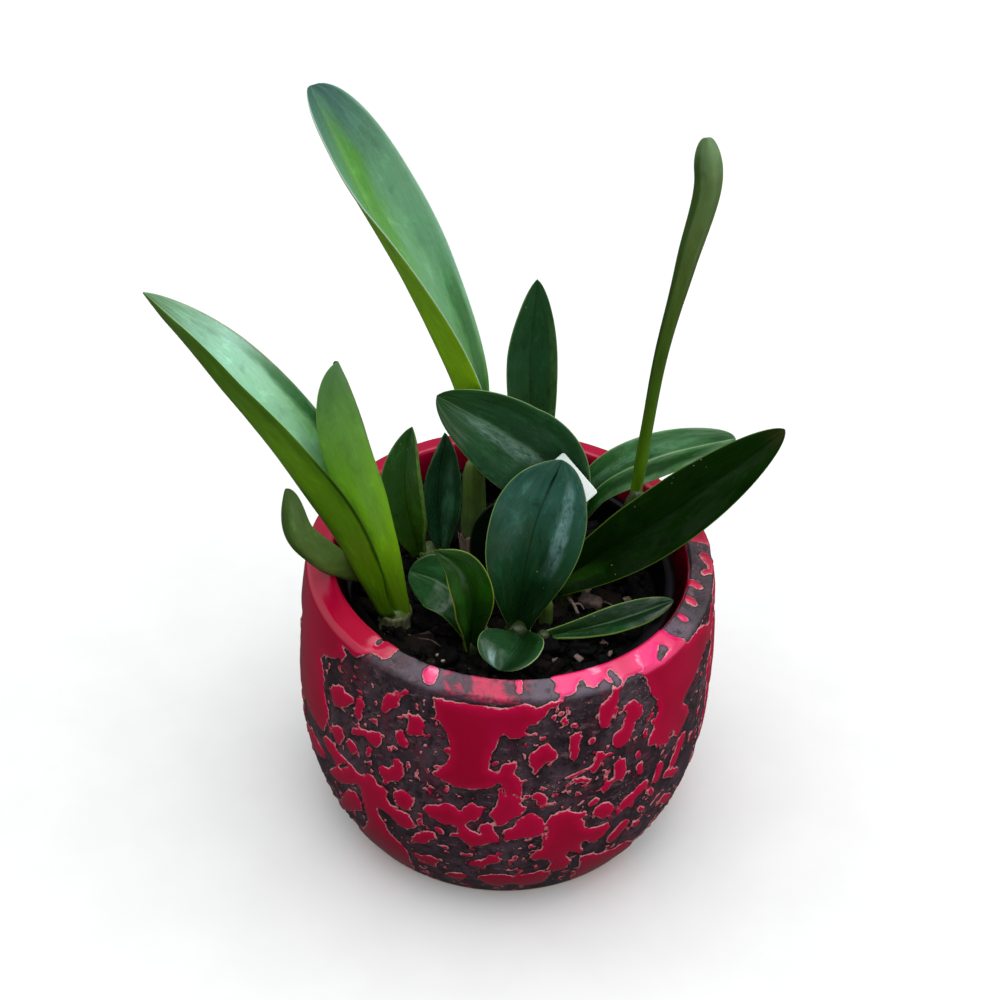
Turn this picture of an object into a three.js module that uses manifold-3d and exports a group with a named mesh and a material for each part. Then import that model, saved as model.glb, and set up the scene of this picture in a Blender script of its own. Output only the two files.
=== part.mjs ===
import * as THREE from "three";
import { mergeVertices } from "three/addons/utils/BufferGeometryUtils.js";
import Module from "manifold-3d";

const wasm = await Module();
wasm.setup();

// A young cattleya in leaf: canes with one or two strap leaves each stand in bark mix,
// in a black plastic grower's pot that rests inside a thick-walled glazed ceramic pot.
// Millimetres. Origin at the centre of the ceramic pot's flat underside, +Z up.
// The pot's front is towards -Y, and the two long leaves lean to the left, -X, and back.

// Clearance between pieces that touch, and round everything that stands in the mix
const SEAT_GAP = 0.3;

// Points of a shape this near each other are one point
const MERGE_WITHIN = 1e-3;

// Ceramic pot
const RIM_RADIUS = 75;
const RIM_HEIGHT = 117;
const BELLY_RADIUS = 79;
const BELLY_HEIGHT = 62;
const BASE_RADIUS = 63.5;
const BELLY_POWER = 2.8;
const WALL = 9;
const FLOOR = 8;
const RIM_FALL = 1.6;
const RIM_ROUND = 3.2;
const MOUTH_BEVEL = 1.2;
const INNER_FOOT_ROUND = 8;
const FOOT_ROUND = 3;
const POT_SIDES = 48;
const CORNER_STEPS = 3;
const OUTER_STEPS = 9;
const INNER_STEPS = 5;

// Grower's pot
const LINER_RIM_RADIUS = 62;
const LINER_TOP_RADIUS = 59;
const LINER_FOOT_RADIUS = 46;
const LINER_HEIGHT = 99;
const LINER_LIP = 6;
const LINER_WALL = 1.2;
const LINER_SIDES = 36;
const DRAIN_HOLES = 6;
const DRAIN_RADIUS = 4;
const DRAIN_RING = 0.7 * LINER_FOOT_RADIUS;
const LINER_FOOT = FLOOR + SEAT_GAP;

// Bark mix. A chip's width and height are shares of its length.
const SOIL_HEIGHT = 95;
const SOIL_SWELL = 1.5;
const SOIL_RINGS = [0.28, 0.55, 0.8, 1];
const CHIPS = 40;
const CHIP_LONGEST = 13;
const CHIP_LENGTHS = [0.6 * CHIP_LONGEST, CHIP_LONGEST];
const CHIP_WIDTHS = [0.5, 0.8];
const CHIP_HEIGHTS = [0.3, 0.55];
const CHIP_RAGGEDNESS = 0.22;
const CHIP_TILT = 0.9;
const SPIRAL_TURN = 137.5;
const HOLE_DEPTH = 16;

// Leaf blades, thickest along the midrib. The fold is a little rounded at the midrib, and a
// blade has opened as far as it will at OPEN_BY of its length. Stations crowd to the tip.
const BLADE_THICKNESS = 1.9;
const MARGIN_THICKNESS = 0.9;
const KEEL_SOFTNESS = 0.18;
const OPEN_BY = 0.7;
const TIP_SHARE = 0.05;
const STATIONS = 12;
const STATION_EASE = 1.35;
const STEPS_ACROSS = 4;
const SLOPE_STEP = 0.05;

// Canes, each from where it stands in the mix to its top. The profile is radius and place
// along the cane, as shares: a swollen lower part, then a sheath ring and a narrower top.
const CANE_SIDES = 10;
const CANE_PROFILE = [
  [0, 0], [0.75, 0], [1, 0.3], [1.05, 0.66], [0.92, 0.69], [0.85, 0.92], [0.55, 1], [0, 1],
];
const CANES = {
  cane_left: { foot: [-41, -17], top: [-41.5, -17, 102], radius: 6.2 },
  cane_far_left: { foot: [-46, -2], top: [-47.5, -4, 100], radius: 3.4 },
  cane_back_left: { foot: [-31, 18], top: [-31, 19, 101], radius: 5.5 },
  cane_tall: { foot: [-13, 12], top: [-15.5, 15, 147], radius: 4.8 },
  cane_rear: { foot: [8, 33], top: [8, 35, 112], radius: 4.5 },
  cane_arching: { foot: [18, 18], top: [20, 17, 108], radius: 4.5 },
  cane_rear_right: { foot: [22, 32], top: [24, 31, 106], radius: 4.5 },
  cane_right: { foot: [34, 14], top: [46, 16, 136], radius: 4.2 },
  cane_low_right: { foot: [20, -1], top: [20, 0, 104], radius: 4.5 },
  cane_centre: { foot: [3, -22], top: [3.5, -23, 102], radius: 5 },
  cane_shaded: { foot: [-4, 2], top: [-4.5, 2, 101], radius: 4 },
  cane_front: { foot: [-11, -30], top: [-12.5, -30, 100], radius: 4.2 },
  cane_small: { foot: [13, -25], top: [13.5, -24.5, 100], radius: 3.2 },
};

// A small bare shoot that has only just pushed up beside the centre cane
const SPROUT = { foot: [14, -14], top: [14.5, -15, 107], radius: 2.6 };

// Leaves. The spine is the midrib from the cane to the tip. "width" is the greatest width of the
// blade laid flat, "stalk" is the width at the cane as a share of it, and "widest" is the place
// of the greatest width along the spine. "swell" over 1 keeps the blade narrow for longer before
// that place, and a smaller "point" keeps it wide for longer after it, so the tip is blunter.
// "faces" gives the way the upper side looks at the base and at the tip, as degrees round from
// +X towards +Y and degrees up. "fold" is how far each half is raised, at the base and where the
// blade has opened. A "pressed" leaf gives way where another one crosses it.
const LEAVES = {
  leaf_tall: {
    cane: "cane_tall", width: 40, stalk: 0.3, widest: 0.6, swell: 1.3, point: 0.43,
    spine: [[-15, 14, 142], [-22, 18, 174], [-42, 29, 214], [-61.3, 41, 246], [-77.3, 55, 274]],
    faces: [[10, 0], [-50, 45]], fold: [60, 40], young: true,
  },
  leaf_left_long: {
    cane: "cane_left", width: 42, stalk: 0.28, widest: 0.45, swell: 1.3, point: 0.8,
    spine: [[-46, -20, 99], [-63, -19.5, 137], [-83.7, -15, 169.2], [-106.2, -8, 198.8], [-128.4, 0, 223]],
    faces: [[10, 30], [-10, 55]], fold: [62, 50], young: true,
  },
  leaf_left_inner: {
    cane: "cane_left", width: 32, stalk: 0.3, widest: 0.62, swell: 1.3, point: 0.55,
    spine: [[-36, -18, 97], [-43.2, -16, 141], [-52.7, -13, 176], [-62, -10, 206]],
    faces: [[165, -10], [160, -30]], fold: [60, 50], young: true,
  },
  leaf_left_small: {
    cane: "cane_far_left", width: 21, stalk: 0.36, widest: 0.6, swell: 1.5, point: 0.55,
    spine: [
      [-48, -4, 97], [-53, -9, 105.5], [-61, -17, 115],
      [-69, -25, 126.5], [-77, -29.5, 142], [-79, -23, 160],
    ],
    faces: [[80, 75], [62, -38]], fold: [62, 45], pressed: "leaf_left_long",
  },
  leaf_back_left: {
    cane: "cane_back_left", width: 20, stalk: 0.36, widest: 0.5, swell: 1.3, point: 0.75,
    spine: [[-35, 18, 97], [-39, 20, 113], [-41, 22, 131], [-39, 26, 152]],
    faces: [[-90, 20], [-120, 20]], fold: [45, 20],
  },
  leaf_back_inner: {
    cane: "cane_back_left", width: 19, stalk: 0.36, widest: 0.5, swell: 1.3, point: 0.75,
    spine: [[-27, 20, 97], [-29, 24, 110], [-29, 27, 128], [-27, 30, 147]],
    faces: [[-60, 20], [-60, 20]], fold: [45, 30],
  },
  leaf_rear: {
    cane: "cane_rear", width: 21, stalk: 0.36, widest: 0.6, swell: 1.3, point: 0.7,
    spine: [[8, 35, 108], [5, 38, 140], [3, 42, 174], [4, 45, 207]],
    faces: [[-75, 10], [-75, 10]], fold: [45, 20],
  },
  leaf_arching: {
    cane: "cane_arching", width: 36, stalk: 0.3, widest: 0.6, swell: 1.8, point: 0.6,
    spine: [[18, 17, 104], [20, 15, 127], [13, 13, 147], [-4, 9, 164], [-29, 6, 182]],
    faces: [[-130, 25], [-100, 30]], fold: [45, 15],
  },
  leaf_rear_right: {
    cane: "cane_rear_right", width: 20, stalk: 0.3, widest: 0.55, swell: 1.3, point: 0.5,
    spine: [[24, 31, 102], [32, 30, 125], [52, 34, 137], [82, 40, 144]],
    faces: [[-110, 50], [-100, 60]], fold: [45, 20],
  },
  leaf_right_upright: {
    cane: "cane_right", width: 18, stalk: 0.42, widest: 0.85, swell: 6, point: 0.5,
    spine: [
      [45, 16, 131], [46.6, 17, 161], [49.4, 20, 194],
      [54.8, 24, 229], [60, 30, 258], [57.5, 35, 273.5],
    ],
    faces: [[90, 0], [90, -30]], fold: [60, 58], young: true,
  },
  leaf_right_broad: {
    cane: "cane_low_right", width: 26, stalk: 0.5, widest: 0.48, swell: 0.9, point: 0.6,
    spine: [[17, 0, 102], [33, 4, 113], [51, 6, 128], [73, 7, 150.5], [94.4, 8, 174]],
    faces: [[-100, 25], [-100, 25]], fold: [45, 12],
  },
  leaf_low_right: {
    cane: "cane_small", width: 11.5, stalk: 0.4, widest: 0.5, swell: 1.3, point: 0.65,
    spine: [[14, -24, 97], [32, -22.5, 102], [48, -21, 108.5], [60, -18, 113]],
    faces: [[-90, 60], [-90, 60]], fold: [40, 15],
  },
  leaf_centre: {
    cane: "cane_centre", width: 37, stalk: 0.3, widest: 0.55, swell: 1.3, point: 0.55,
    spine: [[4, -20, 99], [5, -20, 125], [9, -16, 150], [16, -10, 169]],
    faces: [[-80, 30], [-70, 30]], fold: [45, 10],
  },
  leaf_front: {
    cane: "cane_front", width: 16.5, stalk: 0.32, widest: 0.5, swell: 1.3, point: 0.95,
    spine: [
      [-13, -31.5, 96], [-13.2, -31.5, 110], [-13.6, -32, 124],
      [-18, -29.5, 134], [-27, -26, 138],
    ],
    faces: [[-70, 20], [-70, 20]], fold: [45, 12],
  },
  leaf_curled: {
    cane: "cane_centre", width: 26, stalk: 0.36, widest: 0.62, swell: 2.2, point: 0.4,
    spine: [[5, -27, 99], [4.5, -34, 102], [1.5, -42, 104.3], [-2, -49, 103]],
    faces: [[90, 75], [90, 80]], fold: [40, 20],
  },
  leaf_shaded: {
    cane: "cane_shaded", width: 18, stalk: 0.4, widest: 0.5, swell: 1.3, point: 0.65,
    spine: [[-5, 3, 97], [-7, 3, 110], [-7, 4, 124], [-4, 6, 136]],
    faces: [[-90, 20], [-90, 20]], fold: [45, 20],
  },
  leaf_behind_front: {
    cane: "cane_front", width: 22, stalk: 0.4, widest: 0.5, swell: 1.3, point: 0.55,
    spine: [[-12, -27, 98], [-18, -22, 111], [-26, -15, 113], [-37, -9, 112]],
    faces: [[-90, 40], [-90, 40]], fold: [40, 15],
  },
};

// Plant label: a blank card that leans far back behind the big centre leaf, on an upright stake.
// "across" runs along the card and "up" the way it leans. The stake rises from "stakeFoot", in the
// mix, to the card's middle, "stakeShift" along X from its centre.
const LABEL = {
  width: 34, height: 19, thickness: 0.8, stake: 5, stakeFoot: 84, stakeShift: -3.2,
  centre: [11.2, -3.8, 143.9], across: [0.72, 0.448, 0.53], up: [-0.681, 0.464, 0.566],
};

function seededRandom(seed) {
  let state = seed;
  return () => {
    state = (state * 1664525 + 1013904223) % 4294967296;
    return state / 4294967296;
  };
}

function radians(degrees) {
  return THREE.MathUtils.degToRad(degrees);
}

function toSolid(geometry) {
  const bare = geometry.clone();
  bare.deleteAttribute("normal");
  bare.deleteAttribute("uv");
  const merged = mergeVertices(bare, MERGE_WITHIN);
  return new wasm.Manifold(new wasm.Mesh({
    numProp: 3,
    vertProperties: new Float32Array(merged.attributes.position.array),
    triVerts: new Uint32Array(merged.index.array),
  }));
}

function toGeometry(solid) {
  const mesh = solid.getMesh();
  const geometry = new THREE.BufferGeometry();
  geometry.setAttribute("position", new THREE.BufferAttribute(new Float32Array(mesh.vertProperties), 3));
  geometry.setIndex(new THREE.BufferAttribute(new Uint32Array(mesh.triVerts), 1));
  return geometry;
}

function largestBody(solid) {
  return solid.decompose().reduce((best, body) => (body.volume() > best.volume() ? body : best));
}

// A lathe stands along Y in three.js, so it is turned to stand along Z
function standingLathe(profile, sides) {
  return new THREE.LatheGeometry(profile, sides).rotateX(Math.PI / 2);
}

// Outer radius of the ceramic pot at a height: a slow curve above the belly, a quick one below
function potRadius(height) {
  if (height > BELLY_HEIGHT) {
    const share = (height - BELLY_HEIGHT) / (RIM_HEIGHT - BELLY_HEIGHT);
    return BELLY_RADIUS - (BELLY_RADIUS - RIM_RADIUS) * share ** 2;
  }
  const share = (BELLY_HEIGHT - height) / BELLY_HEIGHT;
  return BELLY_RADIUS - (BELLY_RADIUS - BASE_RADIUS) * share ** BELLY_POWER;
}

// Points round a profile's corner, from one direction in degrees to another
function cornerArc(centreRadius, centreHeight, radius, fromAngle, toAngle) {
  return Array.from({ length: CORNER_STEPS + 1 }, (_, step) => {
    const angle = radians(THREE.MathUtils.lerp(fromAngle, toAngle, step / CORNER_STEPS));
    return new THREE.Vector2(
      centreRadius + radius * Math.cos(angle),
      centreHeight + radius * Math.sin(angle),
    );
  });
}

// Points of a wall between two heights, set in from the pot's outer radius
function wallPoints(fromHeight, toHeight, inset, steps) {
  return Array.from({ length: steps }, (_, step) => {
    const height = THREE.MathUtils.lerp(fromHeight, toHeight, (step + 1) / steps);
    return new THREE.Vector2(potRadius(height) - inset, height);
  });
}

function ceramicPot() {
  const footCentre = potRadius(FOOT_ROUND) - FOOT_ROUND;
  const rimStart = RIM_HEIGHT - RIM_FALL - RIM_ROUND;
  const rimCentre = potRadius(rimStart) - RIM_ROUND;
  const mouth = RIM_RADIUS - WALL;
  const innerFoot = FLOOR + INNER_FOOT_ROUND;
  const floorEdge = potRadius(innerFoot) - WALL - INNER_FOOT_ROUND;
  return standingLathe([
    new THREE.Vector2(0, 0),
    ...cornerArc(footCentre, FOOT_ROUND, FOOT_ROUND, -90, -15),
    ...wallPoints(2 * FOOT_ROUND, rimStart, 0, OUTER_STEPS),
    ...cornerArc(rimCentre, rimStart, RIM_ROUND, 25, 80),
    new THREE.Vector2(mouth + MOUTH_BEVEL, RIM_HEIGHT),
    new THREE.Vector2(mouth, RIM_HEIGHT - MOUTH_BEVEL),
    ...wallPoints(RIM_HEIGHT - MOUTH_BEVEL, innerFoot, WALL + MOUTH_BEVEL / 2, INNER_STEPS),
    new THREE.Vector2(floorEdge, FLOOR),
    new THREE.Vector2(0, FLOOR),
  ], POT_SIDES);
}

// The grower's pot's outer radius at a height above its own foot
function linerRadius(height) {
  return THREE.MathUtils.lerp(LINER_FOOT_RADIUS, LINER_TOP_RADIUS, height / LINER_HEIGHT);
}

function growersPot() {
  const lipFoot = LINER_HEIGHT - LINER_LIP;
  const floor = 2 * LINER_WALL;
  const outline = [
    [0, 0],
    [linerRadius(0), 0],
    [linerRadius(lipFoot), lipFoot],
    [LINER_RIM_RADIUS - LINER_WALL / 2, lipFoot],
    [LINER_RIM_RADIUS, LINER_HEIGHT],
    [LINER_TOP_RADIUS - LINER_WALL, LINER_HEIGHT],
    [linerRadius(floor) - LINER_WALL, floor],
    [0, floor],
  ];
  const profile = outline.map(([radius, height]) => new THREE.Vector2(radius, LINER_FOOT + height));
  let solid = toSolid(standingLathe(profile, LINER_SIDES));
  for (let hole = 0; hole < DRAIN_HOLES; hole += 1) {
    const angle = (2 * Math.PI * hole) / DRAIN_HOLES;
    const drill = new THREE.CylinderGeometry(DRAIN_RADIUS, DRAIN_RADIUS, 4 * floor, 10);
    drill.rotateX(Math.PI / 2);
    drill.translate(DRAIN_RING * Math.cos(angle), DRAIN_RING * Math.sin(angle), LINER_FOOT);
    solid = solid.subtract(toSolid(drill));
  }
  return toGeometry(solid);
}

// A straight cane. "grow" makes it larger all round, for cutting the hole that it stands in.
function caneBody(cane, grow = 0) {
  const foot = new THREE.Vector3(...cane.foot, SOIL_HEIGHT - HOLE_DEPTH);
  const axis = new THREE.Vector3(...cane.top).sub(foot);
  const length = axis.length() + 2 * grow;
  const radius = cane.radius + grow;
  const profile = CANE_PROFILE.map(([share, along]) => new THREE.Vector2(share * radius, along * length));
  axis.normalize();
  const turn = new THREE.Quaternion().setFromUnitVectors(new THREE.Vector3(0, 0, 1), axis);
  const start = foot.addScaledVector(axis, -grow);
  return standingLathe(profile, CANE_SIDES).applyQuaternion(turn).translate(...start.toArray());
}

// A cane with sockets for the leaves that grow from it
function caneSolid(name, cane) {
  let solid = toSolid(caneBody(cane));
  for (const leaf of Object.values(LEAVES)) {
    if (leaf.cane === name) solid = solid.subtract(toSolid(leafBlade(leaf, SEAT_GAP)));
  }
  return largestBody(solid);
}

// A closed body between two grids of points of the same size, an upper and a lower one.
// Both grids are split along the same diagonals, so that a thin blade never cuts itself.
function sheetBody(upper, lower) {
  const rows = upper.length;
  const columns = upper[0].length;
  const positions = [...upper.flat(), ...lower.flat()].flatMap((p) => [p.x, p.y, p.z]);
  const top = (row, column) => row * columns + column;
  const under = (row, column) => rows * columns + top(row, column);
  const index = [];
  const quad = (a, b, c, d) => index.push(a, b, c, a, c, d);
  for (let row = 0; row < rows - 1; row += 1) {
    for (let column = 0; column < columns - 1; column += 1) {
      const next = [row + 1, column + 1];
      quad(top(row, column), top(row, next[1]), top(...next), top(next[0], column));
      index.push(under(row, column), under(...next), under(row, next[1]));
      index.push(under(row, column), under(next[0], column), under(...next));
    }
    quad(top(row, 0), top(row + 1, 0), under(row + 1, 0), under(row, 0));
    const last = columns - 1;
    quad(top(row + 1, last), top(row, last), under(row, last), under(row + 1, last));
  }
  for (let column = 0; column < columns - 1; column += 1) {
    quad(top(0, column + 1), top(0, column), under(0, column), under(0, column + 1));
    const end = rows - 1;
    quad(top(end, column), top(end, column + 1), under(end, column + 1), under(end, column));
  }
  const geometry = new THREE.BufferGeometry();
  geometry.setAttribute("position", new THREE.Float32BufferAttribute(positions, 3));
  geometry.setIndex(index);
  return geometry;
}

function direction([round, up]) {
  const level = Math.cos(radians(up));
  return new THREE.Vector3(
    Math.cos(radians(round)) * level,
    Math.sin(radians(round)) * level,
    Math.sin(radians(up)),
  );
}

// Half the width of a blade at a place along it, as a share of the greatest half width
function widthShare(leaf, along) {
  if (along < leaf.widest) {
    const rise = Math.sin((Math.PI / 2) * (along / leaf.widest));
    return leaf.stalk + (1 - leaf.stalk) * rise ** leaf.swell;
  }
  const past = (along - leaf.widest) / (1 - leaf.widest);
  return Math.max((1 - past ** 2) ** leaf.point, TIP_SHARE);
}

// The middle line of a folded blade's section at a place across it, from -1 to 1
function sectionPoint(across, halfWidth, fold) {
  const reach = Math.hypot(1, KEEL_SOFTNESS) - KEEL_SOFTNESS;
  const raised = (Math.hypot(across, KEEL_SOFTNESS) - KEEL_SOFTNESS) / reach;
  return new THREE.Vector2(halfWidth * across * Math.cos(fold), halfWidth * raised * Math.sin(fold));
}

// The two rows of a blade's section, upper and lower, as x and y across and above the midrib
function sectionRows(halfWidth, fold, grow) {
  const rows = { upper: [], lower: [] };
  for (let step = 0; step <= STEPS_ACROSS; step += 1) {
    const across = (2 * step) / STEPS_ACROSS - 1;
    const middle = sectionPoint(across, halfWidth, fold);
    const along = sectionPoint(across + SLOPE_STEP, halfWidth, fold);
    along.sub(sectionPoint(across - SLOPE_STEP, halfWidth, fold));
    const out = new THREE.Vector2(-along.y, along.x).normalize();
    const thickness = THREE.MathUtils.lerp(BLADE_THICKNESS, MARGIN_THICKNESS, across * across);
    out.multiplyScalar(thickness / 2 + grow);
    rows.upper.push(middle.clone().add(out));
    rows.lower.push(middle.clone().sub(out));
  }
  return rows;
}

// A leaf blade along its spine. "grow" makes it larger all round, for cutting its socket.
function leafBlade(leaf, grow = 0) {
  const spine = new THREE.CatmullRomCurve3(leaf.spine.map((p) => new THREE.Vector3(...p)));
  const upper = [];
  const lower = [];
  for (let station = 0; station <= STATIONS; station += 1) {
    const along = 1 - (1 - station / STATIONS) ** STATION_EASE;
    const centre = spine.getPoint(along);
    const tangent = spine.getTangent(along);
    if (station === 0) centre.addScaledVector(tangent, -grow);
    const facing = direction(leaf.faces[0]).lerp(direction(leaf.faces[1]), along);
    const normal = facing.addScaledVector(tangent, -facing.dot(tangent)).normalize();
    const side = new THREE.Vector3().crossVectors(tangent, normal);
    const halfWidth = (leaf.width / 2) * widthShare(leaf, along) + grow;
    const opened = Math.min(along / OPEN_BY, 1);
    const fold = radians(THREE.MathUtils.lerp(leaf.fold[0], leaf.fold[1], opened));
    const rows = sectionRows(halfWidth, fold, grow);
    const place = (p) => centre.clone().addScaledVector(side, p.x).addScaledVector(normal, p.y);
    upper.push(rows.upper.map(place));
    lower.push(rows.lower.map(place));
  }
  return sheetBody(upper, lower);
}

function leafGeometry(leaf) {
  if (!leaf.pressed) return leafBlade(leaf);
  const press = toSolid(leafBlade(LEAVES[leaf.pressed], SEAT_GAP));
  return toGeometry(largestBody(toSolid(leafBlade(leaf)).subtract(press)));
}

// Height of the mix's surface, a little uneven
function soilSurface(x, y) {
  const ripple = Math.sin(x / 9 + 1.3) * Math.cos(y / 8 - 0.6) + 0.5 * Math.sin((x - y) / 5);
  return SOIL_HEIGHT + SOIL_SWELL * ripple;
}

// The mix fills the grower's pot, a hair inside its wall
function soilBody() {
  const floor = 2 * LINER_WALL + SEAT_GAP;
  const edge = linerRadius(SOIL_HEIGHT - LINER_FOOT) - LINER_WALL - SEAT_GAP;
  const footEdge = linerRadius(floor) - LINER_WALL - SEAT_GAP;
  const body = standingLathe([
    new THREE.Vector2(0, LINER_FOOT + floor),
    new THREE.Vector2(footEdge, LINER_FOOT + floor),
    ...SOIL_RINGS.toReversed().map((share) => new THREE.Vector2(edge * share, SOIL_HEIGHT)),
    new THREE.Vector2(0, SOIL_HEIGHT),
  ], LINER_SIDES);
  const position = body.attributes.position;
  for (let i = 0; i < position.count; i += 1) {
    const x = position.getX(i);
    const y = position.getY(i);
    const inside = Math.hypot(x, y) < edge - 1;
    if (inside && position.getZ(i) > SOIL_HEIGHT - 1) position.setZ(i, soilSurface(x, y));
  }
  return body;
}

function bareBox(size) {
  const box = new THREE.BoxGeometry(...size);
  box.deleteAttribute("normal");
  box.deleteAttribute("uv");
  return box;
}

// A rough flat-sided chip of bark about the origin
function barkChip(random, length) {
  const share = (range) => THREE.MathUtils.lerp(...range, random());
  const size = [length, length * share(CHIP_WIDTHS), length * share(CHIP_HEIGHTS)];
  const chip = mergeVertices(bareBox(size));
  const position = chip.attributes.position;
  const nudge = () => (random() - 0.5) * length * CHIP_RAGGEDNESS;
  for (let i = 0; i < position.count; i += 1) {
    position.setXYZ(i, position.getX(i) + nudge(), position.getY(i) + nudge(), position.getZ(i) + nudge());
  }
  const tilt = () => (random() - 0.5) * CHIP_TILT;
  const turn = new THREE.Euler(tilt(), tilt(), random() * 2 * Math.PI);
  return chip.applyQuaternion(new THREE.Quaternion().setFromEuler(turn));
}

// Chips lie all over the surface on a sunflower spiral, sunk half-way into it, and the mix
// has a plain hole for everything that stands in it
function barkMix() {
  const random = seededRandom(7);
  let solid = toSolid(soilBody());
  const reach = linerRadius(SOIL_HEIGHT - LINER_FOOT) - LINER_WALL - CHIP_LONGEST * 0.75;
  for (let i = 0; i < CHIPS; i += 1) {
    const away = reach * Math.sqrt((i + 0.5) / CHIPS);
    const x = away * Math.cos(radians(i * SPIRAL_TURN));
    const y = away * Math.sin(radians(i * SPIRAL_TURN));
    const chip = barkChip(random, THREE.MathUtils.lerp(...CHIP_LENGTHS, random()));
    chip.translate(x, y, soilSurface(x, y) + SEAT_GAP);
    solid = solid.add(toSolid(chip));
  }
  for (const cane of [...Object.values(CANES), SPROUT]) {
    solid = solid.subtract(toSolid(caneBody(cane, SEAT_GAP)));
  }
  for (const leaf of Object.values(LEAVES)) {
    solid = solid.subtract(toSolid(leafBlade(leaf, SEAT_GAP)));
  }
  return largestBody(solid.subtract(toSolid(labelBody(SEAT_GAP))));
}

// The label's card leans back over the top of its stake, which stands upright in the mix
function labelBody(grow = 0) {
  const thickness = LABEL.thickness + 2 * grow;
  const card = new THREE.BoxGeometry(LABEL.width + 2 * grow, LABEL.height + 2 * grow, thickness);
  const across = new THREE.Vector3(...LABEL.across).normalize();
  const up = new THREE.Vector3(...LABEL.up);
  up.addScaledVector(across, -up.dot(across)).normalize();
  const out = new THREE.Vector3().crossVectors(across, up);
  card.applyMatrix4(new THREE.Matrix4().makeBasis(across, up, out).setPosition(...LABEL.centre));
  const [x, y, top] = LABEL.centre;
  const rise = top - LABEL.stakeFoot + grow;
  const stake = new THREE.BoxGeometry(LABEL.stake + 2 * grow, thickness, rise);
  stake.translate(x + LABEL.stakeShift, y, top - rise / 2);
  return toGeometry(toSolid(card).add(toSolid(stake)));
}

const GLAZE = { color: 0xb8143c, roughness: 0.25, metalness: 0 };
const BLACK_PLASTIC = { color: 0x17141a, roughness: 0.35, metalness: 0 };
const BARK = { color: 0x1d1712, roughness: 0.95, metalness: 0 };
const CANE_SKIN = { color: 0x6f8a3c, roughness: 0.5, metalness: 0 };
const OLD_LEAF = { color: 0x1f4028, roughness: 0.3, metalness: 0 };
const YOUNG_LEAF = { color: 0x4f8f3a, roughness: 0.35, metalness: 0 };
const WHITE_PLASTIC = { color: 0xe9f5ee, roughness: 0.4, metalness: 0 };

const model = new THREE.Group();

function addPart(name, geometry, finish) {
  const mesh = new THREE.Mesh(geometry, new THREE.MeshStandardMaterial(finish));
  mesh.name = name;
  model.add(mesh);
}

addPart("ceramic_pot", ceramicPot(), GLAZE);
addPart("growers_pot", growersPot(), BLACK_PLASTIC);
addPart("bark_mix", toGeometry(barkMix()), BARK);
for (const [name, cane] of Object.entries(CANES)) {
  addPart(name, toGeometry(caneSolid(name, cane)), CANE_SKIN);
}
addPart("sprout", caneBody(SPROUT), CANE_SKIN);
for (const [name, leaf] of Object.entries(LEAVES)) {
  addPart(name, leafGeometry(leaf), leaf.young ? YOUNG_LEAF : OLD_LEAF);
}
addPart("plant_label", labelBody(), WHITE_PLASTIC);

export default model;
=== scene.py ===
import math

import bpy
import numpy as np
from mathutils import Matrix, Vector


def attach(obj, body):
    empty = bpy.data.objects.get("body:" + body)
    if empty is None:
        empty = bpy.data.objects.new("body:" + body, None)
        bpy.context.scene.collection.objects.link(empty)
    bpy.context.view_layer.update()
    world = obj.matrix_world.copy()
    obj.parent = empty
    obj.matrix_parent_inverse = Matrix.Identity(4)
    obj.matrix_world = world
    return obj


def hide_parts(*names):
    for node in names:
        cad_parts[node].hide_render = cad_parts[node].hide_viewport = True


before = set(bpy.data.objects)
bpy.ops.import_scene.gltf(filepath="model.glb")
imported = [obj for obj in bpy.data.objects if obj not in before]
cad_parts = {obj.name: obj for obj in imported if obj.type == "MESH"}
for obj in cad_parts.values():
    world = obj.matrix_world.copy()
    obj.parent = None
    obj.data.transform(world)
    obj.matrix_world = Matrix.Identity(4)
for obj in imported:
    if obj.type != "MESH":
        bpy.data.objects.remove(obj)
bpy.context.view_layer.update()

# A potted young cattleya. Lengths are millimetres here, and become metres when a mesh is made.
MM = 0.001

# Leaf blades: thickness at the midrib and at the margin, how softly the fold turns at the midrib,
# where along it the blade has opened, and how many places along it and across it are worked out
BLADE_THICKNESS = 1.9
MARGIN_THICKNESS = 0.9
KEEL_SOFTNESS = 0.18
OPEN_BY = 0.7
STATION_EASE = 1.35
STATIONS = 72
ACROSS = 22

# Grower's pot and mix
LINER_FOOT = 8.3
LINER_HEIGHT = 99
LINER_FOOT_RADIUS = 46
LINER_TOP_RADIUS = 59
LINER_RIM_RADIUS = 62
LINER_WALL = 1.2
LINER_LIP = 6
LINER_SIDES = 144
SOIL_HEIGHT = 95


def srgb(red, green, blue):
    """A colour given as 0 to 255 on screen, as the linear values that shaders take."""
    def linear(value):
        share = value / 255
        return share / 12.92 if share <= 0.04045 else ((share + 0.055) / 1.055) ** 2.4
    return (linear(red), linear(green), linear(blue), 1.0)


# Noise

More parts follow.
